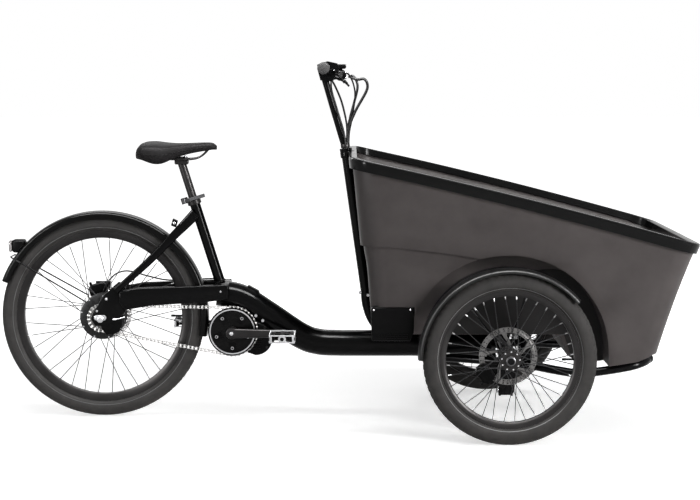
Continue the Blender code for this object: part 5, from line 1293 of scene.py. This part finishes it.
def make_mudguards():
    rings = guard_rings(REAR_AXLE, REAR_GUARD_R, 0.033, 0.024, -11, 160, 84, flare=0.003)
    piece("rear_guard", [loft(rings)], "gloss_trim", "frame", ["rear_mudguard"], angle=40)
    over = REAR_AXLE + outward(math.radians(146)) * (REAR_GUARD_R + 0.0035)
    foot = REAR_AXLE + Vector((-0.046, 0, 0.052))
    along = (over - foot).normalized()
    half = [foot - Y_AXIS * 0.056, over - along * 0.05 - Y_AXIS * 0.0362, over - Y_AXIS * 0.0362,
        over - Y_AXIS * 0.0302 + along * 0.004]
    stay = tube(half + flipped(half), 0.0024, 12, Vector((0.3, 0, 1)).normalized())
    painted("rear_guard_stay", [stay], ["mudguard_stay"], angle=60)
    for side, name in SIDES:
        body, inner = "knuckle_" + name, Y_AXIS * side * (HALF_TRACK - 0.0318)
        centre = FRONT_AXLE + Y_AXIS * side * HALF_TRACK
        rings = guard_rings(centre, FRONT_GUARD_R, 0.031, 0.014, 41, 180, 72)
        # The front guards take the lighter trim copy, whose raised tone is a painted sheen.
        piece("front_guard_" + name, [loft(rings)], "satin_guard", body, ["front_mudguard_" + name], angle=40)
        foot = at(WHEELBASE, side * 0.347, 0.276)
        forms = [round_slab(foot + Vector((-0.016, -0.006, 0.0003)), foot + Vector((0.016, 0.006, 0.014)),
            0.004)]
        for angle, lead in ((76, 0.006), (128, -0.006)):
            out = outward(math.radians(angle))
            path = [foot + Vector((lead, 0, 0.006)), FRONT_AXLE + out * 0.1 + Y_AXIS * side * 0.349,
                FRONT_AXLE + out * 0.15 + inner, FRONT_AXLE + out * (FRONT_GUARD_R - 0.002) + inner]
            forms.append(tube(smooth_path(path, 6), 0.0026, 10, X_AXIS))
        painted("front_guard_stays_" + name, forms, body=body, angle=40)


def make_lamp():
    seat = REAR_AXLE + outward(math.radians(139)) * (REAR_GUARD_R + 0.0008)

    def block(low, high):
        return [slab(seat + Vector(low), seat + Vector(high))]

    case = cleaned(raw_object("lamp_case", block((-0.03, -0.022, -0.018), (0.012, 0.022, 0.024))), 0.009, 4)
    r, y = REAR_GUARD_R + 0.0003, 0.032
    case = cut(case, [cutter(lathe([(-y, 0.2), (-y, r), (y, r), (y, 0.2)], REAR_AXLE, steps=96))])
    dressed(cleaned(case), "satin_plastic", "frame", ["rear_lamp"])
    piece("lamp_lens", block((-0.0395, -0.02, -0.015), (-0.0303, 0.02, 0.021)), "clear_lens", "frame",
        ["rear_lamp_lens"], bevel=0.0035, segments=3)
    in_row("lamp_ribs", block((-0.0401, -0.015, -0.0105), (-0.0392, -0.0138, 0.0165)), 9, (0, 0, 0),
        (0, 0.0036, 0), "clear_lens", "frame")


# Drive


def toothed_ring(centre, teeth, pitch_r, hole, thick=0.0022):
    """A chain wheel's plate round a hole, with rounded gaps between pointed teeth."""
    tooth = ((-0.5, -0.004), (-0.38, -0.0036), (-0.24, -0.001), (-0.12, 0.0016), (-0.05, 0.0022),
        (0.05, 0.0022), (0.12, 0.0016), (0.24, -0.001), (0.38, -0.0036))
    corners = [((i + k) * 2 * math.pi / teeth, pitch_r + r) for i in range(teeth) for k, r in tooth]
    n = len(corners)
    points, faces = [], []
    for y in (-CHAIN_Y - thick / 2, -CHAIN_Y + thick / 2):
        points += [centre + outward(a) * r + Y_AXIS * y for a, r in corners]
        points += [centre + outward(a) * hole + Y_AXIS * y for a, r in corners]
    for i in range(n):
        k = (i + 1) % n
        faces += [(i, k, n + k, n + i), (2 * n + i, 3 * n + i, 3 * n + k, 2 * n + k),
            (i, 2 * n + i, 2 * n + k, k), (n + i, n + k, 3 * n + k, 3 * n + i)]
    return points, faces


def make_chain():
    gap = BB - REAR_AXLE
    base = math.atan2(gap.z, gap.x)
    tilt = math.acos((COG_R - RING_R) / math.hypot(gap.x, gap.z))
    path = [REAR_AXLE + outward(base + tilt + (2 * math.pi - 2 * tilt) * i / 39) * COG_R for i in range(40)]
    path += [BB + outward(base - tilt + 2 * tilt * i / 49) * RING_R for i in range(50)]
    path = [p - Y_AXIS * CHAIN_Y for p in path]
    length = sum((path[(i + 1) % len(path)] - p).length for i, p in enumerate(path))
    half, shapes = PITCH / 2, []
    for y, waist, reach, pin in ((0.002, 0.0026, 0.002, 0.0036), (0.0034, 0.0024, 0.0054, 0.0017)):
        edge = [(-half - 0.0038, 0.0018), (-half, 0.0041), (0, waist), (half, 0.0041),
            (half + 0.0038, 0.0018)]
        edge += [(z, -w) for z, w in reversed(edge)]
        forms = [loft([[Vector((w, way * s, z)) for z, w in edge] for s in (y, y + 0.0011)]) for way in WAYS]
        forms += [rod(Vector((0, -reach, z)), Vector((0, reach, z)), pin, 8) for z in (-half, half)]
        shapes.append(forms)
    along_path("chain_links", path, shapes, 2 * round(length / PITCH / 2), "oiled_links", ["chain"])


def make_chain_wheels():
    ring = toothed_ring(BB, RING_TEETH, RING_R, 0.05)
    piece("ring_teeth", [ring], "turned_steel", "crank", ["chain_ring"])
    carrier = mm((-58, 6.7), (-58, 14.8), (-51, 19), (-35.3, 20.8), (-35.3, 6.7))
    forms = [toothed_ring(REAR_AXLE, COG_TEETH, COG_R, 0.02), lathe(carrier, REAR_AXLE, steps=48)]
    piece("cog_teeth", forms, "cog_steel", "rear_cog", ["rear_cog"])
    web = mm((-48, 12), (-48, 22), (-46.2, 22), (-46.2, 12))
    piece("cog_web", [lathe(web, REAR_AXLE, steps=40)], "hub_casing", "rear_cog")


def make_cranks():
    for side, name in SIDES:
        out = Y_AXIS * side
        end = BB - X_AXIS * side * CRANK
        start, tip = BB + out * CRANK_Y, end + out * (CRANK_Y + 0.004)
        path = [start + (tip - start) * t for t in (-0.085, -0.065, -0.03, 0.2, 0.5, 0.8, 1.0, 1.045, 1.062)]
        widths = (0.55, 0.86, 1.0, 0.93, 0.86, 0.8, 0.8, 0.66, 0.42)
        rings = []
        for (point, along, level), k in zip(moved_frames(path, Z_AXIS), widths):
            across = along.cross(level)
            rings.append([point + across * b * (0.92 + 0.08 * k) + level * a * k
                for a, b in rounded(0.032, 0.014, 0.0055, 5)])
        inner = 0.0512 if side > 0 else 0.0487
        forms = [loft(rings), rod(BB + out * inner, BB + out * (CRANK_Y + 0.007), 0.0175, 32, 0.0012)]
        piece("crank_arm_" + name, forms, "black_anodised", "crank", ["crank_" + name], angle=40)
        bolted("crank_bolt_" + name, [bolt(BB + out * (CRANK_Y + 0.0068), out, 0.006, 0.002)], "crank")
        pin = end + out * (CRANK_Y + 0.011)
        piece("pedal_spindle_" + name, [rod(pin - out * 0.003, pin + out * 0.092, 0.0053, 16)], "bolt_steel",
            "crank")
    spider = mm((-54, 12), (-54, 58), (-53, 61.8), (-48.7, 61.8), (-48.7, 12))
    piece("crank_spider", [lathe(spider, BB, steps=64)], "black_anodised", "crank")


def make_chain_guard():
    disc = mm((-56.7, 18.4), (-56.7, 30), (-56, 34), (-56, 62), (-56.9, 66), (-56.9, 74), (-56.2, 77),
        (-54.5, 78), (-54.1, 76), (-54.1, 18.4))
    piece("guard_disc", [lathe(disc, BB, steps=96)], "gloss_trim", "crank", ["chain_guard"])
    edge = mm((-56.7, 69.2), (-57.3, 69.6), (-57.3, 73), (-56.7, 73.4))
    piece("guard_edge", [lathe(edge, BB, steps=96)], "silver_paint", "crank")
    head = mm((-56, 0), (-56, 5.8), (-59.2, 5.5), (-59.5, 3.2), (-57.8, 3), (-57.8, 0))
    rim = mm((-59, 3.4), (-59.7, 3.6), (-59.7, 4.8), (-59, 5))
    arm = mm((34, -12.6), (61, -10.5), (61, 10.5), (34, 12.6))
    for name, form, look in (("bolts", lathe(head, X_AXIS * 0.053, steps=16), "black_anodised"),
            ("bolt_rims", lathe(rim, X_AXIS * 0.053, steps=16), "bolt_steel"),
            ("arms", loft([[Vector((x, y, z)) for x, z in arm] for y in (-0.0555, -0.0566)]),
            "satin_plastic")):
        round_about("guard_" + name, [form], 5, BB, look, "crank", first=2 * math.pi / 20)


def make_pedals():
    """Cage pedals: a black body, silver plates along the front and back, and silver end frames."""
    for side, name in SIDES:
        end, body, inner = BB - X_AXIS * side * CRANK, "pedal_" + name, CRANK_Y + 0.016
        y0, y1 = sorted((side * inner, side * (inner + 0.095)))
        mid = (y0 + y1) / 2

        def plate(x, half, low_y, high_y, low, high):
            return slab((end.x + x - half, low_y, end.z + low), (end.x + x + half, high_y, end.z + high))

        core = [plate(way * 0.03, 0.0065, y0 + 0.004, y1 - 0.004, -0.009, 0.009) for way in WAYS]
        core.append(plate(0, 0.034, mid - 0.004, mid + 0.004, -0.0115, 0.0115))
        piece("pedal_core_" + name, core, "satin_plastic", body, [body], bevel=0.002)
        cage = [plate(way * 0.039, 0.0014, y0 + 0.002, y1 - 0.002, low, high)
            for way in WAYS for low, high in ((-0.013, -0.0045), (0.0045, 0.013))]
        for y in (y0, y1 - 0.0036):
            cage += [plate(0, 0.0375, y, y + 0.0036, low, high)
                for low, high in ((0.0085, 0.0128), (-0.0128, -0.0085))]
            cage += [plate(way * 0.0345, 0.003, y + 0.0002, y + 0.0034, -0.01, 0.01) for way in WAYS]
        piece("pedal_cage_" + name, cage, "silver_paint", body, bevel=0.0008)
        barrel = rod(Vector((end.x, y0 + 0.001, end.z)), Vector((end.x, y1 - 0.001, end.z)), 0.0105, 24,
            0.001)
        piece("pedal_barrel_" + name, [barrel], "satin_plastic", body)
        tip = mm((-1.2, 6.2), (-1.2, 11.8), (0, 12.5), (1.2, 11.8), (1.2, 6.2))
        ring = lathe(tip, Vector((end.x, side * (inner + 0.094), end.z)), steps=32)
        piece("pedal_end_ring_" + name, [ring], "silver_paint", body)
        studs = []
        for x in (-0.039, 0.039):
            for z in WAYS:
                foot = Vector((end.x + x, y0 + 0.01, end.z + z * 0.0125))
                studs.append(rod(foot, foot + Z_AXIS * z * 0.0015, 0.0012, 8, 0.0004))
        in_row("pedal_studs_" + name, studs, 8, (0, 0, 0), (0, 0.0107, 0), "silver_paint", body)
        plates = [plate(way * 0.0404, 0.0004, mid - 0.027, mid + 0.027, -0.004, 0.004) for way in WAYS]
        piece("pedal_reflectors_" + name, plates, "clear_lens", body, bevel=0.0002)


def make_motor():
    outline = []
    for x, z, radius, start, stop in ((0.4195, 0.283, 0.056, 70, 270), (0.4925, 0.257, 0.054, 270, 430)):
        turns = [math.radians(start + (stop - start) * i / 24) for i in range(25)]
        outline += [(x + radius * math.cos(a), z + radius * math.sin(a)) for a in turns]
    piece("motor_case", [prism(outline, -0.04, 0.05)], "satin_plastic", "frame", ["motor_casing"],
        bevel=0.006, segments=3, angle=50)
    lid = mm((-45.2, 11.8), (-45.2, 36), (-44, 39.5), (-40, 40.5), (-40, 11.8))
    piece("motor_lid", [lathe(lid, BB, steps=64)], "satin_plastic", "frame")
    screws = [bolt(at(a, face, z), Y_AXIS * way, 0.0042, 0.003) for a, z in ((0.529, 0.23), (0.523, 0.294),
        (0.455, 0.216)) for way, face in ((-1, -0.04), (1, 0.05))]
    piece("motor_screws", screws, "black_anodised", "frame", angle=40)
    fins = [slab(at(0.474, -0.0412, 0.225), at(0.51, -0.0396, 0.2268))]
    in_row("motor_fins", fins, 7, (0, 0, 0), (0.0006, 0, 0.0074), "satin_plastic", "frame")
    screw = bolt(Vector((0.034, -0.0449, 0)), -Y_AXIS, 0.0022, 0.0014)
    round_about("motor_lid_screws", [screw], 6, BB, "black_anodised", "frame", first=0.3)


# Saddle and post

# The saddle's sections: how far ahead, the top, half the width and the depth, in millimetres
SADDLE = mm((118, 860, 52, 22), (124, 874, 74, 38), (140, 887, 92, 54), (170, 890.5, 98, 68),
    (192, 889, 93, 69), (212, 886.5, 83, 62), (240, 884.5, 63, 47), (270, 884.5, 44, 38),
    (300, 885.5, 34, 32), (335, 886.5, 27, 27), (358, 885, 22, 22), (371, 876, 12, 13))


def saddle_rows(steps):
    """The sections with a number of steps between each two."""
    rows = [tuple(2 * a - b for a, b in zip(*SADDLE[:2])), *SADDLE,
        tuple(2 * a - b for a, b in zip(*SADDLE[:-3:-1]))]
    return [tuple(catmull(*values, k / steps) for values in zip(*rows[i:i + 4]))
        for i in range(len(SADDLE) - 1) for k in range(steps)] + [SADDLE[-1]]


def make_saddle():
    fill = bpy.context.scene.bike_seat.fill
    swell = 0.38 + 0.06 * fill
    rings = []
    for ahead, top, half, depth in saddle_rows(6):
        half, depth = max(half, 0.006), max(depth, 0.008)
        section = []
        for a in (math.pi * k / 24 for k in range(25)):
            dip = 0.0022 * math.exp(-(math.cos(a) / 0.16) ** 2) * min(1.0, half / 0.05)
            section.append((half * math.cos(a), top - depth * swell * (1 - math.sin(a) ** 0.72) - dip))
        under = top - min(depth * 0.8, 0.042)
        skirt = [(k, top - depth * drop) for k, drop in ((0.985, 0.62), (0.95, 0.8), (0.885, 0.94),
            (0.8, 0.99), (0.72, 0.93))]
        skirt += [(0.64, (under + top - depth) / 2), (0.56, under), (0.28, under)]
        section += [(-half * k, z) for k, z in skirt] + [(half * k, z) for k, z in reversed(skirt)]
        rings.append([at(ahead, y, z) for y, z in section])
    made = piece("saddle_pad", [loft(rings)], "saddle_cover", "saddle", ["saddle"], angle=70)
    for side, name in SIDES:
        path = [at(ahead, side * half * 0.992, top - depth * 0.6)
            for ahead, top, half, depth in saddle_rows(3)[2:-1]]
        piece("saddle_piping_" + name, [tube(path, 0.0012, 8, Z_AXIS)], "saddle_piping", "saddle", angle=60)
    right = places((160, -44, 852), (185, -36, 838), (215, -22.5, 833.5), (290, -22.5, 833.5),
        (322, -16, 843), (346, -10, 866))
    wire_form = tube(smooth_path(right + flipped(right), 5), 0.0034, 14, Z_AXIS)
    piece("saddle_wire", [wire_form], "black_anodised", "saddle", ["saddle_rails"], angle=50)


def make_seat_post():
    head = at(0.2565, 0, 0.826)
    for name, low, high, bevel in (("low", (-0.02, -0.019, -0.01), (0.024, 0.019, 0.006), 0.0045),
            ("top", (-0.016, -0.027, 0.003), (0.02, 0.027, 0.014), 0.0035)):
        block = slab(head + Vector(low), head + Vector(high))
        piece("seat_clamp_" + name, [block], "black_anodised", "saddle", bevel=bevel, segments=3)
    post = rod(SEAT_TOP - SEAT_UP * 0.125, SEAT_TOP + SEAT_UP * 0.118, 0.0136, 32)
    piece("seat_post_tube", [post], "black_anodised", "saddle", ["seat_post"])
    bolted("seat_clamp_bolt", [bolt(head + Vector((x, 0, 0.014)), Z_AXIS, 0.004, 0.004)
        for x in (0.013, -0.009)], "saddle")
    keep_solid("seat_collar", "black_anodised", 0.0008)
    keep_solid("seat_lever", "lever_alloy", 0.0008)


# Handlebar, grips, levers and hoses

STEM_CLAMP = at(0.7665, 0, 1.1)


def make_bar():
    right = smooth_path(places((766.5, 0, 1100), (766.5, -32, 1100), (762.5, -60, 1102.5), (752.5, -86, 1108),
        (738.5, -110, 1115), (725, -132, 1120), (718, -150, 1121.5))
        + [at(GRIP_AHEAD, -0.16, BAR_Z), at(GRIP_AHEAD, -0.33, BAR_Z)], 5)
    bar = tube(flipped(right)[:-1] + right, BAR_R, 24, Z_AXIS)
    piece("bar_tube", [bar], "black_anodised", "handlebar", ["handlebar"], angle=50)
    upper = [STEER_TOP + STEER_UP * 0.008, *places((771.5, 0, 900), (720, 0, 1076), (714, 0, 1098))]
    neck = places((706, 0, 1093), (722, 0, 1095.2), (745, 0, 1098.5), (760, 0, 1100))
    forms = [tube([STEER_TOP - STEER_UP * 0.06, *smooth_path(upper, 8)], BAR_R, 24),
        sweep(neck, rounded(0.031, 0.029, 0.01, 5), Y_AXIS, lambda t: (1 - 0.15 * t, 1 - 0.1 * t)),
        rod(STEM_CLAMP - Y_AXIS * 0.0228, STEM_CLAMP + Y_AXIS * 0.0228, 0.0186, 36, 0.0015)]
    painted("stem_tube", forms, ["mast"], "handlebar", angle=40)
    screws = [bolt(STEM_CLAMP + Vector((0.0155, y, z)), X_AXIS, 0.0034, 0.0038)
        for y in (-0.014, 0.014) for z in (-0.009, 0.009)]
    bolted("stem_screws", screws, "handlebar")
    ring = lathe(mm((-6, 10.9), (-6, 15), (6, 15), (6, 10.9)), STEER_TOP + STEER_UP * 0.0075, STEER_UP, 32)
    piece("mast_collar", [ring], "black_anodised", "handlebar", bevel=0.001)


def make_grips():
    profile = mm((210.5, 11.4), (210.5, 17.8), (212, 18.7), (216, 18.7), (217.2, 17.2), (220, 16),
        (250, 16.6), (280, 17), (312, 17.3), (330, 17.4), (333.8, 16.8), (335, 14.8), (335, 0.6),
        (330.6, 0.6), (330.6, 11.4))
    rib = [lathe(mm((-0.8, 16.3), (-0.4, 17.6), (0.4, 17.6), (0.8, 16.3)), Vector(), steps=32)]
    centre = at(GRIP_AHEAD, 0, BAR_Z)
    for side, name in SIDES:
        form = lathe([(side * y, r) for y, r in profile], centre, steps=48)
        piece("grip_sleeve_" + name, [form], "ribbed_grip", "handlebar", ["grip_" + name])
        in_row("grip_ribs_" + name, rib, 24, centre + Y_AXIS * side * 0.224, Y_AXIS * side * 0.0042,
            "ribbed_grip", "handlebar")


def make_brake_levers():
    for side, name in SIDES:
        keep_solid("brake_body_" + name, "satin_plastic", 0.001)
        centre, body = at(GRIP_AHEAD, side * 0.19, BAR_Z), "brake_lever_" + name
        hinge = centre + Vector((0.0305, side * 0.012, -0.012))
        path = [hinge + Vector((x, side * y, z)) for x, y, z in mm((4, 0.5, 0), (14, 14, 0), (19, 40, -1),
            (16, 85, -2), (22, 112, -2))]
        blade = sweep(smooth_path(path, 8), rounded(0.0043, 0.0092, 0.0019, 4), Z_AXIS)
        piece("lever_blade_" + name, [blade], "black_anodised", body, [body], angle=50)
        bolted("lever_pin_" + name, [bolt(hinge + Vector((0.0005, 0, 0.0058)), Z_AXIS, 0.0032, 0.0016)],
            "handlebar")
        adjust = centre + Vector((0.0265, -side * 0.0315, -0.012))
        knob = rod(adjust, adjust - Y_AXIS * side * 0.0022, 0.0062, 16, 0.001)
        piece("lever_adjuster_" + name, [knob], "silver_paint", "handlebar")


# The thin cables from the bar to the bundle in front of the column: each one's radius and its route

CABLES = ((0.0044, places((802.8, -50, 1090.9), (821.7, -55, 1086.2), (840.5, -55, 1087.8),
    (851, -50, 1072.1), (847, -44, 1046.9), (812.4, -26, 983.6), (791.7, -12, 926.1), (787.9, -5, 871.6))),
    (0.004, places((793.3, -30, 1093.9), (804.4, -40, 1097.1), (815.4, -44, 1084.6), (820.2, -42, 1059.5),
    (809.2, -30, 1012.1), (796.5, -19, 964.4), (788.9, -8, 922.7), (786.3, 3, 871.2))),
    (0.0032, places((736.2, -135, 1085.3), (746.7, -110, 1072.8), (768.1, -50, 1021.9), (782.5, -22, 964.5),
    (787, -14, 923), (785.7, -9, 871.8))), (0.003, places((736.8, -60, 1078.5), (738.9, -30, 1049.9),
    (756.2, -21, 989.8), (775.5, -18, 926.3), (783.8, -12, 872))))


def make_hoses():
    rows = mm((743, 155, 1109.5), (747.5, 137, 1109.3), (790, 106, 1104), (812, 56, 1048), (804, 16, 968),
        (794.5, 3.6, 915), (792.5, 3.4, 858))
    for side, name in SIDES:
        path = smooth_path([at(a, side * s, z) for a, s, z in rows], 10)
        hose("hose_" + name, [tube(path, HOSE_R, 12)], "handlebar", ["brake_hose_" + name])
    hose("cable_bundle", [tube(smooth_path(route, 8), radius, 12) for radius, route in CABLES], "handlebar")
    ends = []
    for place in (at(0.764, -0.135, 1.095), at(0.778, -0.15, 1.085)):
        middle = place + Vector((0.01, 0, -0.012))
        ends += [rod(place, middle, 0.0042, 12, 0.001), rod(middle, place + Vector((0.016, 0, -0.019)),
            0.0032, 12, 0.0006)]
    piece("cable_adjusters", ends, "satin_plastic", "handlebar", angle=40)


def make_display():
    keep_solid("display", "satin_plastic", 0.0015)
    place = at(0.7645, -0.046, 1.1013)
    screen = round_slab(place + Vector((-0.0185, -0.0225, 0.0316)), place + Vector((0.0165, 0.0225, 0.0326)),
        0.003)
    piece("display_screen", [screen], "dark_screen", "handlebar")
    key = [round_slab((-0.0025, -0.0045, 0.0), (0.0025, 0.0045, 0.0012), 0.0015)]
    in_row("display_keys", key, 3, place + Vector((0.0182, -0.012, 0.031)), (0, 0.012, 0), "ribbed_grip",
        "handlebar")


# Linkage, knuckles and brakes


def make_linkage():
    for node in ("lower_beam", "upper_beam", "upright_left", "upright_right", "knuckle_left",
            "knuckle_right"):
        keep_solid(node, "gloss_frame_paint", 0.0012)
    for node in ("front_caliper_left", "front_caliper_right", "rear_caliper"):
        keep_solid(node, "satin_plastic", 0.0012)
    keep_solid("rear_axle", "bolt_steel", 0.0005)
    for side, name in SIDES:
        nut = bolt(FRONT_AXLE + Y_AXIS * side * (HALF_TRACK + 0.0346), Y_AXIS * side, 0.0142, 0.005, False)
        piece("axle_nut_" + name, [nut], "dark_bolt", "knuckle_" + name, angle=40)
        for key, z in LINK_HEIGHTS:
            caps = [bolt(at(WHEELBASE + way * 0.0218, side * 0.285, z), X_AXIS * way, 0.0075, 0.004)
                for way in WAYS]
            bolted("link_bolts_" + key + "_" + name, caps, "upright_" + name)


# Stage


def seen_rays(tree):
    """One for the rays that see the background itself or its mirror image, nought for the rays that light."""
    path = tree.nodes.new("ShaderNodeLightPath")
    mirror = math_node(tree, "MAXIMUM", path.outputs["Is Glossy Ray"], path.outputs["Is Transmission Ray"])
    return math_node(tree, "MAXIMUM", path.outputs["Is Camera Ray"], mirror)


def floor_finish(tone):
    """A pale floor that keeps the bike's shadow and fades to plain white further off."""
    made = bpy.data.materials.new("pale_floor")
    made.use_nodes = True
    tree = made.node_tree
    shader, end = tree.nodes["Principled BSDF"], tree.nodes["Material Output"]
    for key, value in (("Base Color", (*tone, 1)), ("Roughness", 0.95), ("Specular IOR Level", 0.0)):
        shader.inputs[key].default_value = value
    place, size, glow, both = nodes(tree, "ShaderNodeTexCoord", "ShaderNodeVectorMath", "ShaderNodeEmission",
        "ShaderNodeAddShader")
    size.operation = "LENGTH"
    wire(tree, (place, "Object", size, 0))
    fade = ranged(tree, size.outputs["Value"], 1.0, 3.0, 0.58, 1.0)
    wire(tree, (math_node(tree, "MULTIPLY", fade, seen_rays(tree)), glow, "Strength"), (shader, 0, both, 0),
        (glow, 0, both, 1), (both, 0, end, "Surface"))
    return made


def make_floor(tone, size=30.0):
    mesh = bpy.data.meshes.new("floor")
    mesh.from_pydata([(-size, -size, 0), (size, -size, 0), (size, size, 0), (-size, size, 0)], [],
        [(0, 1, 2, 3)])
    mesh.materials.append(floor_finish(tone))
    floor = linked("floor", mesh)


def make_sky(strength):
    """Even light from all round, seen as plain white."""
    world = bpy.data.worlds.new("studio")
    world.use_nodes = True
    bpy.context.scene.world = world
    tree = world.node_tree
    light, end = tree.nodes["Background"], tree.nodes["World Output"]
    white, mix = nodes(tree, "ShaderNodeBackground", "ShaderNodeMixShader")
    for node, power in ((light, strength), (white, 1.0)):
        node.inputs["Color"].default_value = (1, 1, 1, 1)
        node.inputs["Strength"].default_value = power
    wire(tree, (seen_rays(tree), mix, "Fac"), (light, 0, mix, 1), (white, 0, mix, 2),
        (mix, 0, end, "Surface"))


def make_lamps(key, streak):
    """Soft lamps that light the bike, and strips that only show as streaks along its glossy tubes."""
    for name, place, aim, width, depth, power in (("lamp_key", (3.0, -2.7, 1.5), (0.7, 0, 0.45), 1.5, 0.9,
            key), ("lamp_top", (-0.1, -0.7, 3.2), (0.0, 0, 0.4), 3.6, 0.2, key * 0.25),
            ("lamp_back", (-0.6, 3.0, 2.8), (0.0, 0, 0.5), 3.0, 0.5, key * 0.3),
            ("strip_top", (0.0, -1.3, 3.0), (0.0, 0, 0.4), 4.0, 0.8, streak),
            ("strip_rear", (-3.2, -2.9, 1.5), (-0.3, 0, 0.5), 0.5, 2.6, streak * 0.4),
            ("strip_front", (3.3, -2.6, 1.5), (0.6, 0, 0.5), 0.5, 2.4, streak * 0.4)):
        lamp = bpy.data.lights.new(name, "AREA")
        lamp.shape, lamp.size, lamp.size_y, lamp.energy = "RECTANGLE", width, depth, power
        lit = linked(name, lamp)
        lit.location = place
        lit.rotation_euler = (Vector(aim) - Vector(place)).to_track_quat("-Z", "Y").to_euler()
        lit.visible_diffuse = not name.startswith("strip")


def make_stage():
    scene = bpy.context.scene
    stage = scene.bike_stage
    make_floor(tuple(stage.floor))
    make_sky(stage.sky)
    make_lamps(stage.key, stage.streak)
    lens = bpy.data.cameras.new("view")
    lens.lens, lens.sensor_width = stage.lens, 36
    camera = scene.camera = linked("view", lens)
    camera.location = CAMERA_PLACE
    camera.rotation_euler = (CAMERA_PITCH, 0, 0)
    scene.view_settings.view_transform = "Standard"


# Operators


class BIKE_OT_finishes(bpy.types.Operator):
    """Make every finish of the bike from the settings"""
    bl_idname = "bike.finishes"
    bl_label = "Make finishes"

    def execute(self, context):
        make_finishes()
        return {"FINISHED"}


class BIKE_OT_frame(bpy.types.Operator):
    """Build the frame's tubes, stays, dropouts, hoop and welds"""
    bl_idname = "bike.frame"
    bl_label = "Frame"

    def execute(self, context):
        make_main_tubes()
        make_rear_stays()
        make_front_hoop()
        return {"FINISHED"}


class BIKE_OT_box(bpy.types.Operator):
    """Build the cargo box, its capping, the service panels and the battery case"""
    bl_idname = "bike.box"
    bl_label = "Cargo box"

    def execute(self, context):
        make_box_shell()
        make_well_liners()
        make_box_cap()
        make_covers()
        return {"FINISHED"}


class BIKE_OT_tyres(bpy.types.Operator):
    """Build the three tyres with their tread and sidewall lines"""
    bl_idname = "bike.tyres"
    bl_label = "Tyres"

    def execute(self, context):
        make_tyres()
        return {"FINISHED"}


class BIKE_OT_wheels(bpy.types.Operator):
    """Build the rims, spokes, nipples, valves and hubs"""
    bl_idname = "bike.wheels"
    bl_label = "Rims, spokes and hubs"

    def execute(self, context):
        make_wheels()
        return {"FINISHED"}


class BIKE_OT_discs(bpy.types.Operator):
    """Build the drilled brake discs"""
    bl_idname = "bike.discs"
    bl_label = "Brake discs"

    def execute(self, context):
        make_discs()
        return {"FINISHED"}


class BIKE_OT_guards(bpy.types.Operator):
    """Build the mudguards, their stays and the rear lamp"""
    bl_idname = "bike.guards"
    bl_label = "Mudguards and lamp"

    def execute(self, context):
        make_mudguards()
        make_lamp()
        return {"FINISHED"}


class BIKE_OT_drive(bpy.types.Operator):
    """Build the motor, cranks, pedals, chain wheels, chain and guard"""
    bl_idname = "bike.drive"
    bl_label = "Drive"

    def execute(self, context):
        make_motor()
        make_chain()
        make_chain_wheels()
        make_cranks()
        make_chain_guard()
        make_pedals()
        return {"FINISHED"}


class BIKE_OT_seat(bpy.types.Operator):
    """Build the padded saddle, its wire, post and clamp"""
    bl_idname = "bike.seat"
    bl_label = "Saddle and post"

    def execute(self, context):
        make_saddle()
        make_seat_post()
        return {"FINISHED"}


class BIKE_OT_bar(bpy.types.Operator):
    """Build the stem, bar, grips, levers, hoses and display"""
    bl_idname = "bike.bar"
    bl_label = "Handlebar"

    def execute(self, context):
        make_bar()
        make_grips()
        make_brake_levers()
        make_hoses()
        make_display()
        return {"FINISHED"}


class BIKE_OT_linkage(bpy.types.Operator):
    """Finish the tilt linkage, the steering knuckles and the brake calipers"""
    bl_idname = "bike.linkage"
    bl_label = "Linkage and calipers"

    def execute(self, context):
        make_linkage()
        return {"FINISHED"}


class BIKE_OT_stage(bpy.types.Operator):
    """Set the floor, the lamps, the white surround and the camera"""
    bl_idname = "bike.stage"
    bl_label = "Stage"

    def execute(self, context):
        make_stage()
        return {"FINISHED"}


class BIKE_PT_panel(bpy.types.Panel):
    bl_label = "Cargo Bike"
    bl_idname = "BIKE_PT_panel"
    bl_space_type = "VIEW_3D"
    bl_region_type = "UI"
    bl_category = "Cargo Bike"

    def draw(self, context):
        for group_name in SETTINGS:
            settings = getattr(context.scene, group_name)
            part = self.layout.box()
            for key in settings.bl_rna.properties.keys():
                if key not in ("rna_type", "name"):
                    part.prop(settings, key)
        for operator in OPERATORS:
            self.layout.operator(operator.bl_idname)


OPERATORS = (BIKE_OT_finishes, BIKE_OT_frame, BIKE_OT_box, BIKE_OT_tyres, BIKE_OT_wheels, BIKE_OT_discs,
    BIKE_OT_guards, BIKE_OT_drive, BIKE_OT_seat, BIKE_OT_bar, BIKE_OT_linkage, BIKE_OT_stage)
SETTINGS = {"bike_wheels": BikeWheelSettings, "bike_box": BikeBoxSettings, "bike_frame": BikeFrameSettings,
    "bike_seat": BikeSeatSettings, "bike_stage": BikeStageSettings}


def register():
    for name, settings in SETTINGS.items():
        bpy.utils.register_class(settings)
        setattr(bpy.types.Scene, name, PointerProperty(type=settings))
    for made in (*OPERATORS, BIKE_PT_panel):
        bpy.utils.register_class(made)


def unregister():
    for made in (BIKE_PT_panel, *reversed(OPERATORS)):
        bpy.utils.unregister_class(made)
    for name, settings in SETTINGS.items():
        delattr(bpy.types.Scene, name)
        bpy.utils.unregister_class(settings)


def main():
    register()
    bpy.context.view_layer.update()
    bpy.ops.bike.finishes()
    bpy.ops.bike.frame()
    bpy.ops.bike.box()
    bpy.ops.bike.tyres()
    bpy.ops.bike.wheels()
    bpy.ops.bike.discs()
    bpy.ops.bike.guards()
    bpy.ops.bike.drive()
    bpy.ops.bike.seat()
    bpy.ops.bike.bar()
    bpy.ops.bike.linkage()
    bpy.ops.bike.stage()


if __name__ == "__main__":
    main()
